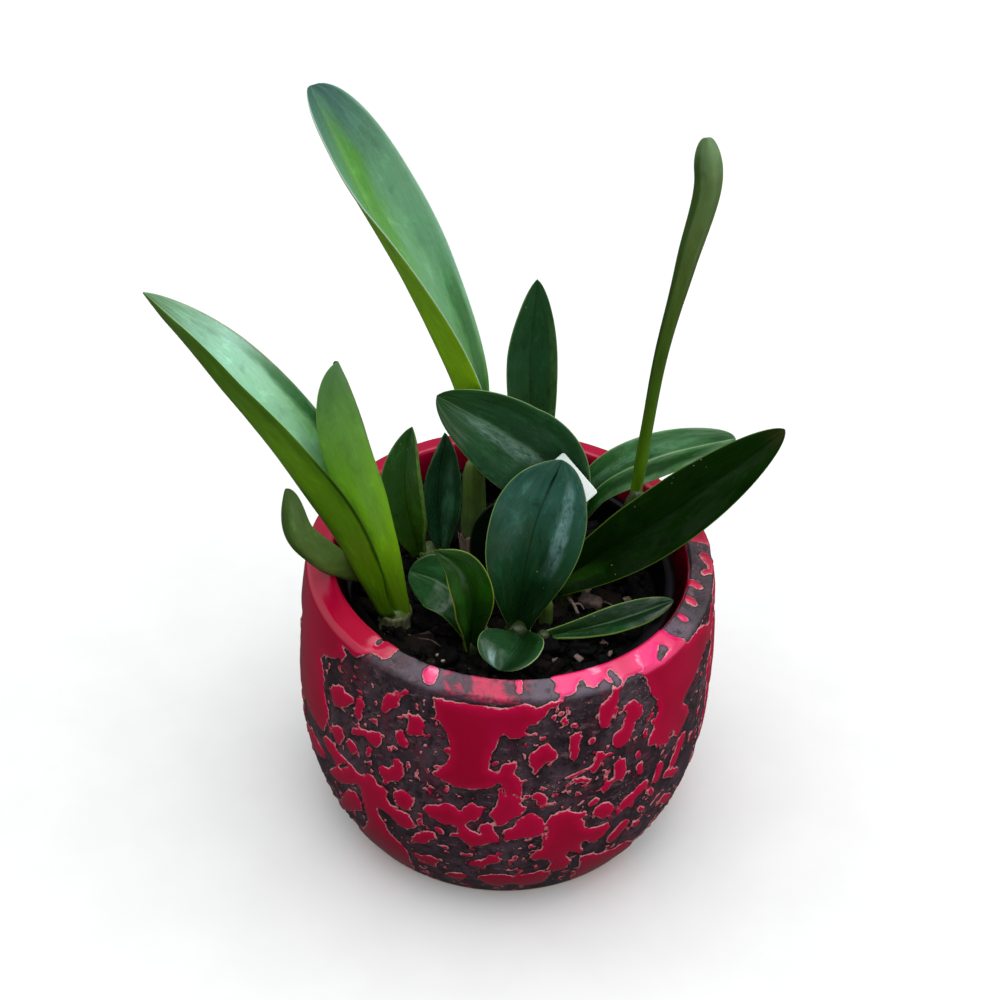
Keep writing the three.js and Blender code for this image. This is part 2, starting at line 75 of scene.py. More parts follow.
class Noise:
    """Seeded gradient noise of points, about -1 to 1."""

    def __init__(self, seed):
        random = np.random.default_rng(seed)
        self.order = np.tile(random.permutation(256), 3)
        steps = random.normal(size=(256, 3))
        self.slopes = steps / np.linalg.norm(steps, axis=1, keepdims=True)

    def __call__(self, points):
        points = np.atleast_2d(points)
        cell = np.floor(points).astype(int)
        part = points - cell
        ease = part ** 3 * (part * (part * 6 - 15) + 10)
        cell = cell & 255
        total = np.zeros(len(points))
        for dx in (0, 1):
            wx = ease[:, 0] if dx else 1 - ease[:, 0]
            for dy in (0, 1):
                wy = ease[:, 1] if dy else 1 - ease[:, 1]
                for dz in (0, 1):
                    wz = ease[:, 2] if dz else 1 - ease[:, 2]
                    a = self.order[(cell[:, 0] + dx) & 255]
                    b = self.order[(a + cell[:, 1] + dy) & 255]
                    c = self.order[(b + cell[:, 2] + dz) & 255]
                    away = part - np.array([dx, dy, dz])
                    total += wx * wy * wz * (self.slopes[c] * away).sum(axis=1)
        return total * 1.6

    def layered(self, points):
        total = 0
        for layer in range(3):
            total = total + self(np.asarray(points) * 2 ** layer + 17.3 * layer) / 2 ** layer
        return total / 1.5


def smooth(low, high, value):
    share = np.clip((value - low) / (high - low), 0, 1)
    return share * share * (3 - 2 * share)


# Meshes

def mesh_object(name, points, faces, values=None):
    """An object from points in millimetres, with float values kept for its material."""
    mesh = bpy.data.meshes.new(name)
    mesh.from_pydata((np.asarray(points, float) * MM).tolist(), [], faces)
    for key, numbers in (values or {}).items():
        layer = mesh.attributes.new(key, "FLOAT", "POINT")
        layer.data.foreach_set("value", np.asarray(numbers, np.float32))
    mesh.shade_smooth()
    mesh.validate()
    mesh.update()
    thing = bpy.data.objects.new(name, mesh)
    bpy.context.scene.collection.objects.link(thing)
    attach(thing, "root")
    return thing


def grid_faces(rows, columns, around=False, flip=False):
    """Quads over a grid of rows by columns of points; around joins each row end to end."""
    faces = []
    for row in range(rows - 1):
        for column in range(columns if around else columns - 1):
            beside = (column + 1) % columns
            here, above = row * columns, (row + 1) * columns
            quad = [here + column, here + beside, above + beside, above + column]
            faces.append(quad[::-1] if flip else quad)
    return faces


def capped_faces(rows, columns, flip=False):
    """Quads over rings of points, with one face over each end."""
    last = (rows - 1) * columns
    ends = [list(range(columns))[::-1], list(range(last, last + columns))]
    if flip:
        ends = [end[::-1] for end in ends]
    return grid_faces(rows, columns, around=True, flip=flip) + ends


def fanned_faces(rows, columns, flip=False):
    """Quads over rings of points, with a fan at each end to one of two points after the rings."""
    faces = grid_faces(rows, columns, around=True, flip=flip)
    start, end, last = rows * columns, rows * columns + 1, (rows - 1) * columns
    for one in range(columns):
        beside = (one + 1) % columns
        near, far = (one, beside) if flip else (beside, one)
        faces += [[start, near, far], [end, last + far, last + near]]
    return faces


def lathe_points(profile, sides):
    """Points of a profile of (radius, height) turned round Z, row by row."""
    angle = np.linspace(0, 2 * np.pi, sides, endpoint=False)
    profile = np.asarray(profile, float)
    radius = profile[:, :1]
    rows = np.stack([radius * np.cos(angle), radius * np.sin(angle),
                     np.repeat(profile[:, 1:2], sides, axis=1)], axis=-1)
    return rows.reshape(-1, 3)


class Builder:
    """Gathers points, faces and values of several closed shapes into one mesh."""

    def __init__(self):
        self.points = []
        self.faces = []
        self.values = {}
        self.count = 0

    def add(self, points, faces, **values):
        points = np.asarray(points, float)
        self.faces += [[self.count + index for index in face] for face in faces]
        self.points.append(points)
        for key in set(self.values) | set(values):
            number = values.get(key, 0.0)
            filled = np.broadcast_to(np.asarray(number, float), (len(points),))
            self.values.setdefault(key, [np.zeros(self.count)] if self.count else [])
            self.values[key].append(filled)
        self.count += len(points)

    def object(self, name):
        values = {key: np.concatenate(parts) for key, parts in self.values.items()}
        return mesh_object(name, np.concatenate(self.points), self.faces, values)


# Materials

class Nodes:
    """A short way to write the node tree of a material or a world."""

    def __init__(self, owner):
        self.owner = owner
        owner.use_nodes = True
        self.tree = owner.node_tree

    def node(self, kind, **settings):
        made = self.tree.nodes.new(kind)
        for key, value in settings.items():
            setattr(made, key, value)
        return made

    def put(self, socket, value):
        """Feeds an input from a node, or sets it; three numbers are a colour of 0 to 255 on screen."""
        if isinstance(value, bpy.types.NodeSocket):
            self.tree.links.new(value, socket)
        elif isinstance(value, tuple) and len(value) == 3:
            socket.default_value = srgb(*value)
        else:
            socket.default_value = value

    def feed(self, made, given):
        """Feeds a node's inputs, from pairs of their names or numbers and values."""
        for key, value in given:
            self.put(made.inputs[key], value)
        return made

    def value(self, name):
        return self.node("ShaderNodeAttribute", attribute_name=name).outputs["Fac"]

    def place(self):
        return self.node("ShaderNodeTexCoord").outputs["Object"]

    def math(self, operation, *values):
        return self.feed(self.node("ShaderNodeMath", operation=operation), enumerate(values)).outputs[0]

    def times(self, first, second):
        return self.math("MULTIPLY", first, second)

    def range(self, value, low, high, to_low=0.0, to_high=1.0, soft=True):
        made = self.node("ShaderNodeMapRange", interpolation_type="SMOOTHSTEP" if soft else "LINEAR")
        return self.feed(made, enumerate((value, low, high, to_low, to_high))).outputs[0]

    def noise(self, vector, scale, detail=3.0, roughness=0.55, stretch=(1, 1, 1), distortion=0.0):
        mapped = self.feed(self.node("ShaderNodeMapping"), [("Vector", vector)])
        mapped.inputs["Scale"].default_value = stretch
        return self.feed(self.node("ShaderNodeTexNoise"), [
            ("Vector", mapped.outputs[0]), ("Scale", scale), ("Detail", detail),
            ("Roughness", roughness), ("Distortion", distortion)]).outputs["Fac"]

    def cells(self, vector, scale):
        made = self.feed(self.node("ShaderNodeTexVoronoi"), [("Vector", vector), ("Scale", scale)])
        return made.outputs["Distance"]

    def mix(self, share, first, second, blend="MIX"):
        made = self.node("ShaderNodeMix", data_type="RGBA", blend_type=blend)
        return self.feed(made, [("Factor", share), (6, first), (7, second)]).outputs[2]

    def lay(self, colour, over, pattern, low, high, strength=1):
        """A colour with another over it, where a pattern rises from one value to another."""
        return self.mix(self.range(pattern, low, high, 0, strength), colour, over)

    def ramp(self, value, stops):
        made = self.feed(self.node("ShaderNodeValToRGB"), [(0, value)])
        elements = made.color_ramp.elements
        while len(elements) < len(stops):
            elements.new(0.5)
        for element, (place, colour) in zip(elements, stops):
            element.position = place
            element.color = colour
        return made.outputs["Color"]

    def bump(self, height, strength, distance, normal=None):
        made = self.feed(self.node("ShaderNodeBump"), [
            ("Height", height), ("Strength", strength), ("Distance", distance)])
        if normal is not None:
            self.put(made.inputs["Normal"], normal)
        return made.outputs[0]

    def add(self, first, second):
        made = self.node("ShaderNodeVectorMath", operation="ADD")
        return self.feed(made, enumerate((first, second))).outputs[0]

    def finish(self, shine=0.5, **inputs):
        shader = self.tree.nodes["Principled BSDF"]
        shader.inputs["Specular IOR Level"].default_value = shine
        self.feed(shader, ((key.replace("_", " "), value) for key, value in inputs.items()))
        return self.owner


def paint(name):
    return Nodes(bpy.data.materials.new(name))


def shades(*colours):
    """Colour ramp stops spread evenly from 0 to 1."""
    return [(index / (len(colours) - 1), srgb(*colour)) for index, colour in enumerate(colours)]


# Ceramic pot

RIM_RADIUS = 75
RIM_HEIGHT = 117
BELLY_RADIUS = 79
BELLY_HEIGHT = 62
BASE_RADIUS = 63.5
BELLY_POWER = 2.8
WALL = 9
FLOOR = 8
RIM_FALL = 1.6
RIM_ROUND = 3.2
FOOT_ROUND = 3
POT_SIDES = 500
RELIEF = 0.62

# Where the rim starts and ends, in the glaze's measure up the wall and on over the rim, and how
# many degrees round from the front the outlines taken from the photo reach
RIM_START = 112
RIM_END = 124
PHOTO_TURN = 102

# The most that a place can lie outside the red glaze and inside it
OUTSIDE_MOST = -4
INSIDE_MOST = 6

# Red glaze islands on the side that the photo shows. Each is an outline of pairs: degrees round
# from the front towards the right, and millimetres up the wall, going on over the rim.
ISLANDS = [
    [-95, 140, -34, 140, -34, 124.5, -34.5, 118, -36, 116.5, -40, 116, -41.5, 113.5, -44.5, 110.2,
     -47, 111, -49.5, 110.3, -47.5, 108.3, -48.5, 105.5, -52, 102.5, -55, 100, -58, 97.5, -59.7, 94.5,
     -58.3, 93, -57.6, 90, -56.6, 85, -56.8, 81, -55, 77.5, -53.7, 74, -53.6, 71, -55.2, 67,
     -55.8, 62, -60, 59, -66, 58.5, -95, 60],
    [-55.5, 60.5, -53, 60.5, -49, 59, -45.5, 59, -43.5, 58.8, -41.5, 57.5, -39.5, 57, -38.2, 58,
     -37.8, 60.3, -35.8, 61.2, -34, 60, -34, 57.5, -32, 58.2, -30.3, 57.5, -31, 54, -29.5, 50.5,
     -26, 50, -24, 49.5, -22.4, 46, -22.8, 42.5, -25, 40.3, -27.5, 40.7, -29.5, 43.5, -32, 45,
     -34, 44.5, -34.2, 41.5, -32.5, 39, -31.3, 33.8, -29.5, 30, -27, 28, -25.5, 24, -25.5, 18,
     -26.5, 10, -28, -6, -58, -6, -52, 8, -44, 18, -40, 26.9, -38.6, 33, -39, 40, -40, 46, -40.5, 50,
     -42, 49, -45, 45.5, -48, 42.5, -52, 40.5, -55, 41, -53, 45, -50.5, 50, -52, 52.5, -55, 53, -57, 56],
    [-53.2, 87, -52, 90.5, -48, 94, -46.5, 92, -43, 93.5, -43, 91, -45, 87, -47.5, 84, -49.5, 81.5,
     -51.5, 81, -52.5, 84],
    [-42.8, 88.5, -42, 94.5, -40, 95, -38.3, 93, -39.8, 90.5, -39.6, 86, -40.8, 83.2, -42.3, 85],
    [-33.3, 98, -32.8, 103, -31, 106, -29, 106.2, -27.5, 109, -26, 110.3, -26.5, 108, -28, 105.5,
     -28, 101.5, -30, 98.5, -31.8, 94.5, -33.5, 95.5],
    [-25, 100.5, -23.5, 99.8, -22.5, 101, -20.8, 99.5, -20, 96, -20.3, 92.5, -22.5, 91.5,
     -24.2, 90, -25.7, 91, -25, 95],
    [-28.6, 88, -27.5, 91.5, -25.8, 90, -24.3, 86.5, -25.2, 83.5, -27.3, 82.7, -28.3, 84.5],
    [-19.2, 111.2, -10, 111.3, 0, 111.2, 3, 111.6, 6, 113, 9, 111.8, 12, 113.2, 14.6, 113.6,
     15.4, 115.5, 14, 117, 15.2, 119.5, 13.6, 122, 14.6, 125, 14, 140, 55, 140, 55.5, 124, 56.5, 118,
     58, 113.5, 64, 112, 95, 112.5, 95, 97, 80, 98, 72, 96, 66, 94, 62, 91, 59, 89, 56.7, 86, 58, 84,
     60, 80, 61, 76, 57.5, 72.5, 55.5, 70, 54, 72, 52.5, 76, 51.3, 74, 50, 70.2, 48.5, 72.5, 47, 74.5,
     46, 72.5, 45.5, 76, 43, 77.5, 42, 79.8, 44, 83.5, 44.5, 87, 45.3, 93, 45, 98, 43, 102.5,
     41, 107.5, 41, 110, 40.2, 113, 39.6, 114.8, 38.5, 115, 35, 114.4, 33.5, 112.5, 32, 110, 31.5, 106,
     31, 101.5, 29.5, 99, 29, 96, 26.5, 97.5, 25.8, 102, 26.5, 107.5, 28.5, 109.5, 30, 111, 30.2, 114,
     29, 117.5, 27.5, 117, 25.5, 115.5, 23, 117, 21, 118, 19, 114.8, 16.5, 114.5, 14.5, 111,
     12.5, 110.5, 11.5, 107.5, 9.5, 105, 7, 103, 6.5, 100.5, 8, 98.8, 5, 98.2, 2, 97.5, 0.5, 99.5,
     -0.5, 98, -0.8, 94.5, -2, 91, -2.5, 87, -2.3, 83, 0, 82, 0.5, 84, 1, 86, 3.5, 87.7, 4.3, 86,
     4.2, 81.5, 5.5, 78.5, 6.5, 75, 6.6, 71, 6.2, 67, 7, 63.5, 6.2, 60.5, 4.2, 58, 2.2, 54.5, 0, 53.5,
     -1, 57, -2, 60, -1, 64, 0, 66, 0, 69.5, 1.8, 70.5, 1.5, 73, 0.3, 76.5, -1, 76, -2.5, 73.5,
     -5, 72.5, -8, 71.8, -11, 71.5, -13, 73, -15, 74, -17, 74.8, -17.5, 77, -16, 79, -14, 82,
     -13.3, 86, -13.2, 92, -14.2, 95.5, -15.5, 98.5, -17, 102, -18, 106, -18.6, 109],
    [-29.3, 76, -27.5, 76.5, -25.6, 75.5, -25.5, 71, -26, 68, -27.5, 65, -30, 62.8, -32, 62,
     -33.5, 64, -33.7, 67.5, -32.5, 69.3, -30, 69.5, -29, 72],
    [-28.7, 56, -28.3, 59.5, -26.5, 61.3, -24, 61, -22.5, 58.5, -22.4, 55, -23.5, 52, -25.5, 50.9,
     -27.5, 52.5],
    [-44, 77, -42.5, 79, -38, 82, -35.5, 83.5, -33.3, 85, -32.6, 81.5, -33.5, 78.5, -35, 76,
     -38, 78.5, -41.5, 76, -43.5, 74.5],
    [-52.3, 69, -50.5, 72, -48, 73.5, -46, 70, -47, 66, -48.5, 62.5, -50.8, 63.5, -52, 66],
    [-45.6, 68.5, -44.5, 71.5, -42, 71.5, -41.2, 69, -43, 64, -45, 66],
    [-38, 70, -37.5, 74.5, -36, 75, -36, 71, -37, 69],
    [-20, 56, -18.5, 58.8, -15.5, 60.5, -13.7, 63, -11.5, 62, -10, 60, -9.3, 60.2, -7.5, 65, -6, 65,
     -4.5, 63.5, -2.2, 64, -3.5, 62, -4, 59, -4.8, 56.5, -7, 55, -7.8, 52.5, -6.5, 50, -4, 49,
     -5, 51, -4.5, 54, -2.5, 55.5, -1, 53.5, 0, 50.5, 1.2, 48, 1, 45, -1.5, 43, -4, 41.4, -6.5, 41,
     -8.5, 43, -10, 45.5, -13, 44.5, -12.5, 46, -10.5, 47.5, -10, 50.5, -11, 51.5, -14, 50.5,
     -17, 52.5, -19, 54],
    [2, 50, 1.8, 51.8, 4, 53, 6, 56.4, 7.5, 60, 10, 60, 12, 58, 12.8, 54, 12.8, 51, 12, 48, 9, 47,
     5, 46.3, 2.5, 46],
    [14.5, 58.8, 17.5, 60.5, 20, 60, 21.5, 58, 23.5, 57.5, 24.3, 55, 22.5, 53.5, 24, 51.5, 24, 49,
     26, 46.5, 28.5, 46, 31.5, 45.5, 32.5, 42, 31, 38.5, 28.5, 35, 27, 36, 25.5, 39, 24, 38.5,
     25, 33, 24, 30.5, 22.5, 33, 20.5, 35, 20.3, 32, 22.5, 27, 21.5, 22, 18, 20.5, 15, 23, 16, 28,
     15, 31, 12, 32, 9.8, 34, 10, 37, 12.5, 40.2, 13.5, 44, 13.5, 50, 13.3, 55],
    [7.2, 87.8, 8, 91, 10.5, 94, 12.5, 95.5, 13.8, 93, 15, 90, 14.8, 87, 12, 84.8, 10.3, 83,
     9.3, 80.8, 8.5, 82, 8.7, 84, 7.5, 85.5],
    [18, 95.5, 19.8, 98.5, 21.8, 95.5, 21, 91.5, 20.8, 86.5, 19.8, 84.5, 18.5, 86.5, 18.2, 91],
    [33.3, 103.5, 35, 104, 36.5, 105.3, 38.5, 103, 39.3, 100, 40.3, 96.5, 39.3, 94, 37.5, 93.5,
     37, 89, 36, 85.5, 33.5, 83.8, 31, 85, 30.2, 88.5, 30.8, 92.5, 33.5, 94, 34.2, 98, 34.3, 101],
    [31.2, 77, 32.5, 79, 35, 78, 35.5, 74, 35.5, 69, 34.5, 65.5, 33.5, 68, 31.5, 68, 30, 65,
     28.5, 63.5, 27.7, 66.5, 29.5, 70.5, 31.7, 70.5, 31.5, 74],
    [24.5, 29, 29, 27.5, 33, 25, 37, 23, 41, 24, 46, 18, 50, 8, 52, -6, 27, -6, 26, 10, 25.5, 18, 25, 24],
    [-5, 18, -3, 20.5, 1, 22, 4, 22, 6, 20, 7, 24.6, 5.2, 26.3, 6.5, 28, 8, 25, 8, 22, 11, 22,
     13, 24.6, 15, 22, 17.5, 19, 16.5, 13.5, 15, 9, 9, 8, 6, 12, 2, 8, -1, 9, -3, 13],
    [-24.5, 25, -21, 26, -18.5, 28, -16.2, 26, -16.3, 22, -17.5, 18, -20.5, 20, -23, 22],
    [-15.5, 13, -13, 18.5, -9.5, 19.5, -7.5, 17, -9, 12, -12.5, 10],
    [-7, 28.6, -6, 31, -3, 33, -1.5, 36.5, 1, 36, 2.3, 34, 1.5, 31.5, -1, 30, -3.5, 27, -6.5, 27.5],
    [-23.3, 37, -22, 40, -20, 43, -18.3, 44.5, -16.2, 43.5, -15.6, 41, -17.5, 39, -19, 35.5,
     -21, 33.5, -22.5, 34.5],
    [-47.5, 38.5, -45, 42.5, -42, 44.5, -40.2, 40, -40.5, 36, -43, 32, -46, 28, -50, 22, -55, 16,
     -57, 18, -52, 28, -49.5, 33],
    [-66, 50, -58, 49.5, -56.3, 47, -58.5, 43, -62, 40, -68, 38, -72, 44],
]

# Smaller round drops of red: degrees and millimetres of one end, then of the other, and radius
DROPS = [
    (15.7, 107.7, 15.7, 107.7, 1.3), (24.3, 92.8, 24.3, 92.2, 1.5), (19, 101.5, 20, 100.5, 1.2),
    (25.5, 60, 26.8, 61, 1.7), (28.7, 55, 30.4, 53.2, 3.5), (36.8, 52.6, 42, 57.2, 3.0),
    (48.5, 62, 47.5, 56, 2.3), (55, 57, 58, 66, 2.7), (40, 70.5, 40.8, 66, 1.4),
    (39, 77, 39.4, 75.5, 1.4), (37, 39.5, 34.6, 34, 3.2), (42.5, 44, 43.5, 42.5, 1.6),
    (42, 35.5, 43, 34, 1.7), (27, 85, 25.4, 78, 1.8), (27, 80, 18, 77, 0.9), (20.5, 75, 24, 73, 1.2),
    (10.5, 69.5, 11.6, 66.5, 2.2), (12, 63.8, 14, 65, 0.9), (14, 69, 19, 69.6, 0.5),
    (-15.8, 46.8, -15, 46, 1.5), (-13.8, 37, -13.2, 37, 1.4), (-9, 34.4, -6.5, 35.5, 1.0),
    (6, 36, 5.7, 33, 0.9), (-21.3, 75.4, -21.5, 73, 0.5), (-18.9, 67.3, -17.8, 65.8, 0.9),
    (-15.8, 65.5, -16.4, 64.5, 0.6), (-13.2, 70.3, -13.7, 68, 0.8), (-11, 68, -9.5, 67, 0.5),
    (-21, 117.8, -21.3, 119.6, 2.7), (64.5, 119, 64.5, 120, 1.7), (72, 119.5, 72.4, 121, 2.0),
    (79.5, 119.5, 79.8, 122.5, 2.1), (86, 117.5, 88, 114.5, 1.3), (4.2, 118, 4.6, 120.5, 1.5),
    (90, 114.5, 94, 117.2, 2.1), (41.3, 85, 41.5, 84.5, 0.9), (41.5, 91.2, 41.7, 91, 0.8),
    (45, 52, 46.3, 49, 1.5), (52, 54, 57, 49, 2.0), (53, 38, 58, 32, 2.5),
    (-28, 96.5, -25.5, 98.5, 0.7),
]

# Charcoal spots inside the red
GAPS = [
    (4.5, 70.3, 5.2, 69.8, 0.7), (-45.5, 55.9, -48.6, 51.6, 0.7), (-40.5, 120.5, -40, 124.5, 1.0),
    (-33.9, 43.8, -32.8, 43.2, 0.8), (31.5, 118.5, 32.2, 114, 1.4), (22, 118, 22.5, 115, 1.2),
    (47.5, 115.8, 50.5, 117.2, 1.4),
]


def pot_radius(height):
    """Outer radius of the wall at a height: a slow curve above the belly, a quick one below."""
    height = np.asarray(height, float)
    above = (height - BELLY_HEIGHT) / (RIM_HEIGHT - BELLY_HEIGHT)
    below = np.clip((BELLY_HEIGHT - height) / BELLY_HEIGHT, 0, 1)
    return np.where(height > BELLY_HEIGHT,
                    BELLY_RADIUS - (BELLY_RADIUS - RIM_RADIUS) * above ** 2,
                    BELLY_RADIUS - (BELLY_RADIUS - BASE_RADIUS) * below ** BELLY_POWER)


def corner(radius, height, size, first, last, steps):
    angle = np.radians(np.linspace(first, last, steps + 1))
    return [(radius + size * np.cos(a), height + size * np.sin(a)) for a in angle]


def pot_profile():
    """The wall's section from the underside's edge up over the rim and down to the floor.

    Each point is radius, height, and the place along the wall that the glaze is drawn by."""
    foot = float(pot_radius(FOOT_ROUND)) - FOOT_ROUND
    top = RIM_HEIGHT - RIM_FALL - RIM_ROUND
    rim = float(pot_radius(top)) - RIM_ROUND
    mouth = RIM_RADIUS - WALL
    rows = corner(foot, FOOT_ROUND, FOOT_ROUND, -88, -8, 6)
    heights = np.linspace(FOOT_ROUND + 0.9, top, 112)
    rows += [(float(pot_radius(z)), z) for z in heights]
    rows += corner(rim, top, RIM_ROUND, 12, 80, 6)
    rows += [(r, z) for r, z in zip(np.linspace(rim, mouth + 1.4, 7)[1:], np.linspace(
        RIM_HEIGHT - RIM_FALL, RIM_HEIGHT, 7)[1:])]
    rows += corner(mouth + 1.2, RIM_HEIGHT - 1.2, 1.2, 100, 180, 4)
    inner = np.linspace(RIM_HEIGHT - 2.2, FLOOR + 8, 26)
    rows += [(float(pot_radius(z)) - WALL - 0.6, z) for z in inner]
    floor_edge = float(pot_radius(FLOOR + 8)) - WALL - 8
    rows += [(r, FLOOR + 8 * (1 - np.cos(a))) for r, a in [
        (floor_edge + 8 * np.sin(np.radians(b)), np.radians(b)) for b in (60, 30, 0)]]
    rows += [(40, FLOOR), (15, FLOOR)]
    rows = np.array(rows)
    step = np.hypot(*np.diff(rows, axis=0).T)
    along = np.concatenate([[0], np.cumsum(step)])
    start = np.interp(top, rows[:120, 1], along[:120])
    place = np.where(along < start, rows[:, 1], top + (along - start) * 0.92)
    return rows, place


def outline_distance(x, y, outline):
    """Millimetres inside an outline; negative outside it."""
    nearest = np.full(x.shape, 1e9)
    inside = np.zeros(x.shape, bool)
    ends = np.roll(outline, -1, axis=0)
    for (x0, y0), (x1, y1) in zip(outline, ends):
        dx, dy = x1 - x0, y1 - y0
        share = np.clip(((x - x0) * dx + (y - y0) * dy) / (dx * dx + dy * dy + 1e-9), 0, 1)
        nearest = np.minimum(nearest, np.hypot(x - x0 - share * dx, y - y0 - share * dy))
        if y0 != y1:
            crosses = (y0 > y) != (y1 > y)
            inside ^= crosses & (x < dx * (y - y0) / dy + x0)
    return np.where(inside, nearest, -nearest)


def drop_distance(x, y, drop):
    x0, y0, x1, y1, radius = drop
    return radius - np.abs(outline_distance(x, y, np.array([[x0, y0], [x1, y1 + 1e-3]])))


def degrees_round(angle):
    """Degrees from the front, positive towards the right."""
    return (np.degrees(angle) + 90 + 180) % 360 - 180


def glaze_depth(angle, place, points):
    """How far inside the red glaze each point of the pot lies, in millimetres."""
    turn = degrees_round(angle)
    per_degree = np.radians(1) * BELLY_RADIUS
    waver, crumble, patches, crumbs = Noise(11), Noise(12), Noise(13), Noise(15)
    x = turn * per_degree + 0.7 * waver(points / 5) + 0.35 * crumble(points / 1.8)
    y = place + 0.7 * waver(points / 5 + 40) + 0.35 * crumble(points / 1.8 + 40)
    front = np.full(x.shape, -3.0)
    scale = np.array([per_degree, 1.0])
    near = np.abs(turn) < PHOTO_TURN
    for outline in ISLANDS:
        outline = np.array(outline, float).reshape(-1, 2) * scale
        front[near] = np.maximum(front[near], outline_distance(x[near], y[near], outline))
    for drops, sign in ((DROPS, 1), (GAPS, -1)):
        for drop in drops:
            x0, y0, x1, y1, radius = drop
            found = drop_distance(x[near], y[near], (
                x0 * per_degree, y0, x1 * per_degree, y1, radius))
            front[near] = np.maximum(front[near], found) if sign > 0 else np.minimum(front[near], -found)
    tall = points * np.array([1, 1, 0.75])
    back = 11 * (patches(tall / 24) + 0.55 * patches(tall / 9 + 30) + 0.35 * patches(tall / 4 + 60) + 0.02)
    back = np.where(place > RIM_START, np.maximum(back, 2.5), back)
    share = smooth(62, 84, np.abs(turn))
    share = np.where((place > RIM_START) & (turn > 0), smooth(98, 101, np.abs(turn)), share)
    share = np.where((place > 95) & (turn < 0), smooth(88, 95, np.abs(turn)), share)
    depth = front * (1 - share) + back * share
    loose = 3.2 * (crumbs(points / 2.4) - 0.42 + 0.35 * crumbs(points / 11 + 50))
    depth = np.where(place < 111, np.maximum(depth, np.minimum(loose, 0.9)), depth)
    depth = depth + 0.35 * crumble(points / 1.1 + 90)
    depth = np.where(place > RIM_END, np.maximum(depth, 3.0), depth)
    return np.clip(depth, OUTSIDE_MOST, INSIDE_MOST)


def ceramic_pot():
    rows, place = pot_profile()
    points = lathe_points(rows, POT_SIDES)
    place = np.repeat(place, POT_SIDES)
    angle = np.arctan2(points[:, 1], points[:, 0])
    depth = glaze_depth(angle, place, points)
    step = np.gradient(rows, axis=0)
    out = np.stack([step[:, 1], -step[:, 0]], axis=1)
    out /= np.linalg.norm(out, axis=1, keepdims=True)
    out = np.repeat(out, POT_SIDES, axis=0)
    grain = Noise(14)
    raised = RELIEF * smooth(-0.4, 1.3, depth) + 0.12 * smooth(1, 4, depth)
    raised += (1 - smooth(-0.5, 0.5, depth)) * 0.16 * grain(points / 1.6)
    raised += 0.15 * grain(points / 14) - 0.45
    raised *= smooth(2, 8, points[:, 2]) * np.where(place > 130, 0.2, 1)
    around = np.stack([np.cos(angle), np.sin(angle)], axis=1)
    points[:, :2] += around * (out[:, 0] * raised)[:, None]
    points[:, 2] += out[:, 1] * raised
    faces = fanned_faces(len(rows), POT_SIDES)
    points = np.vstack([points, [[0, 0, 0], [0, 0, FLOOR]]])
    depth = np.append(depth, [OUTSIDE_MOST, 3])
    turn = degrees_round(angle)
    on_rim = smooth(RIM_START, RIM_START + 3, place) * smooth(RIM_END, RIM_END - 3, place)
    veil = smooth(-19, -15.5, turn) * smooth(9, 6.5, turn) * on_rim
    # Painted light: the front and right of the rim, where the light falls, get a pink glow, pale highlight
    # streaks and lighter charcoal.
    lit = on_rim * smooth(-34, -18, turn) * smooth(75, 55, turn)
    extras = {"rim_light": np.append(lit, [0, 0]), "veil": np.append(veil, [0, 0])}
    thing = mesh_object("pot_glazed", points, faces, {"depth": depth, **extras})
    thing.data.materials.append(glaze_material())
    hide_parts("ceramic_pot")


def red_glaze(n, where, depth, height, cloud, rim_light):
    """Crimson, darker low down, with painted light on the lit front and right of the rim, pale along its
    edges.
    """
    crimson = n.mix(n.range(depth, 0.6, 4.5), (192, 2, 62), (170, 0, 48))
    crimson = n.lay(crimson, (200, 8, 68), cloud, 0.35, 0.7, 0.5)
    crimson = n.lay(crimson, (146, 0, 44), height, 0.06, 0.005, 0.8)
    # Painted light on the lit rim: a pink glow, then pale pink highlight streaks.
    crimson = n.mix(rim_light, crimson, n.lay((244, 34, 118), (208, 8, 78), cloud, 0.4, 0.62))
    rim_highlight_flow = n.noise(where, 60, 4, 0.6, stretch=(1, 1, 2), distortion=1.5)
    crimson = n.mix(n.times(rim_light, n.range(rim_highlight_flow, 0.55, 0.68, 0, 0.6)), crimson, (255, 176, 214))
    broken = n.range(n.noise(where, 170, 2), 0.36, 0.56)
    line = n.times(n.range(depth, 0.62, 0.16), broken)
    return n.mix(n.times(line, 0.75), crimson, (238, 168, 170))


def charcoal(n, where, depth, grime, rim_light, veil):
    """Rough grey between the islands: smears, fibres, soot, a few pale dots, painted shadow in dark rings
    round the islands and painted light on the lit rim.
    """
    char = n.lay((40, 28, 35), (80, 62, 72), grime, 0.36, 0.66)
    smear = n.noise(where, 130, 3, 0.6, stretch=(1, 1, 0.5))
    char = n.lay(char, (104, 30, 54), smear, 0.52, 0.72, 0.6)
    fibre = n.noise(where, 420, 3, 0.65, stretch=(0.45, 0.45, 1.4), distortion=1.0)
    char = n.lay(char, (128, 98, 104), fibre, 0.55, 0.68, 0.6)
    # Painted light: the charcoal is lighter on the lit front and right of the rim.
    char = n.mix(n.times(rim_light, 0.6), char, (104, 92, 110))
    swirl = n.noise(where, 75, 3, 0.6, stretch=(1, 1, 2), distortion=1.2)
    hazy = n.lay((62, 20, 44), (196, 14, 74), swirl, 0.44, 0.6)
    char = n.mix(n.times(veil, n.range(swirl, 0.34, 0.5, 0.7, 1)), char, hazy)
    char = n.lay(char, (26, 19, 23), n.noise(where, 210, 4, 0.7), 0.5, 0.66, 0.8)
    # Painted shadow: a dark ring in the charcoal round the foot of each raised island.
    char = n.mix(n.times(n.range(depth, -0.75, -0.12), 0.85), char, (12, 5, 8))
    few = n.range(n.noise(where, 45, 2), 0.6, 0.68)
    dots = n.times(n.range(n.cells(where, 900), 0.22, 0.12), few)
    return n.mix(n.times(dots, 0.8), char, (226, 184, 180))


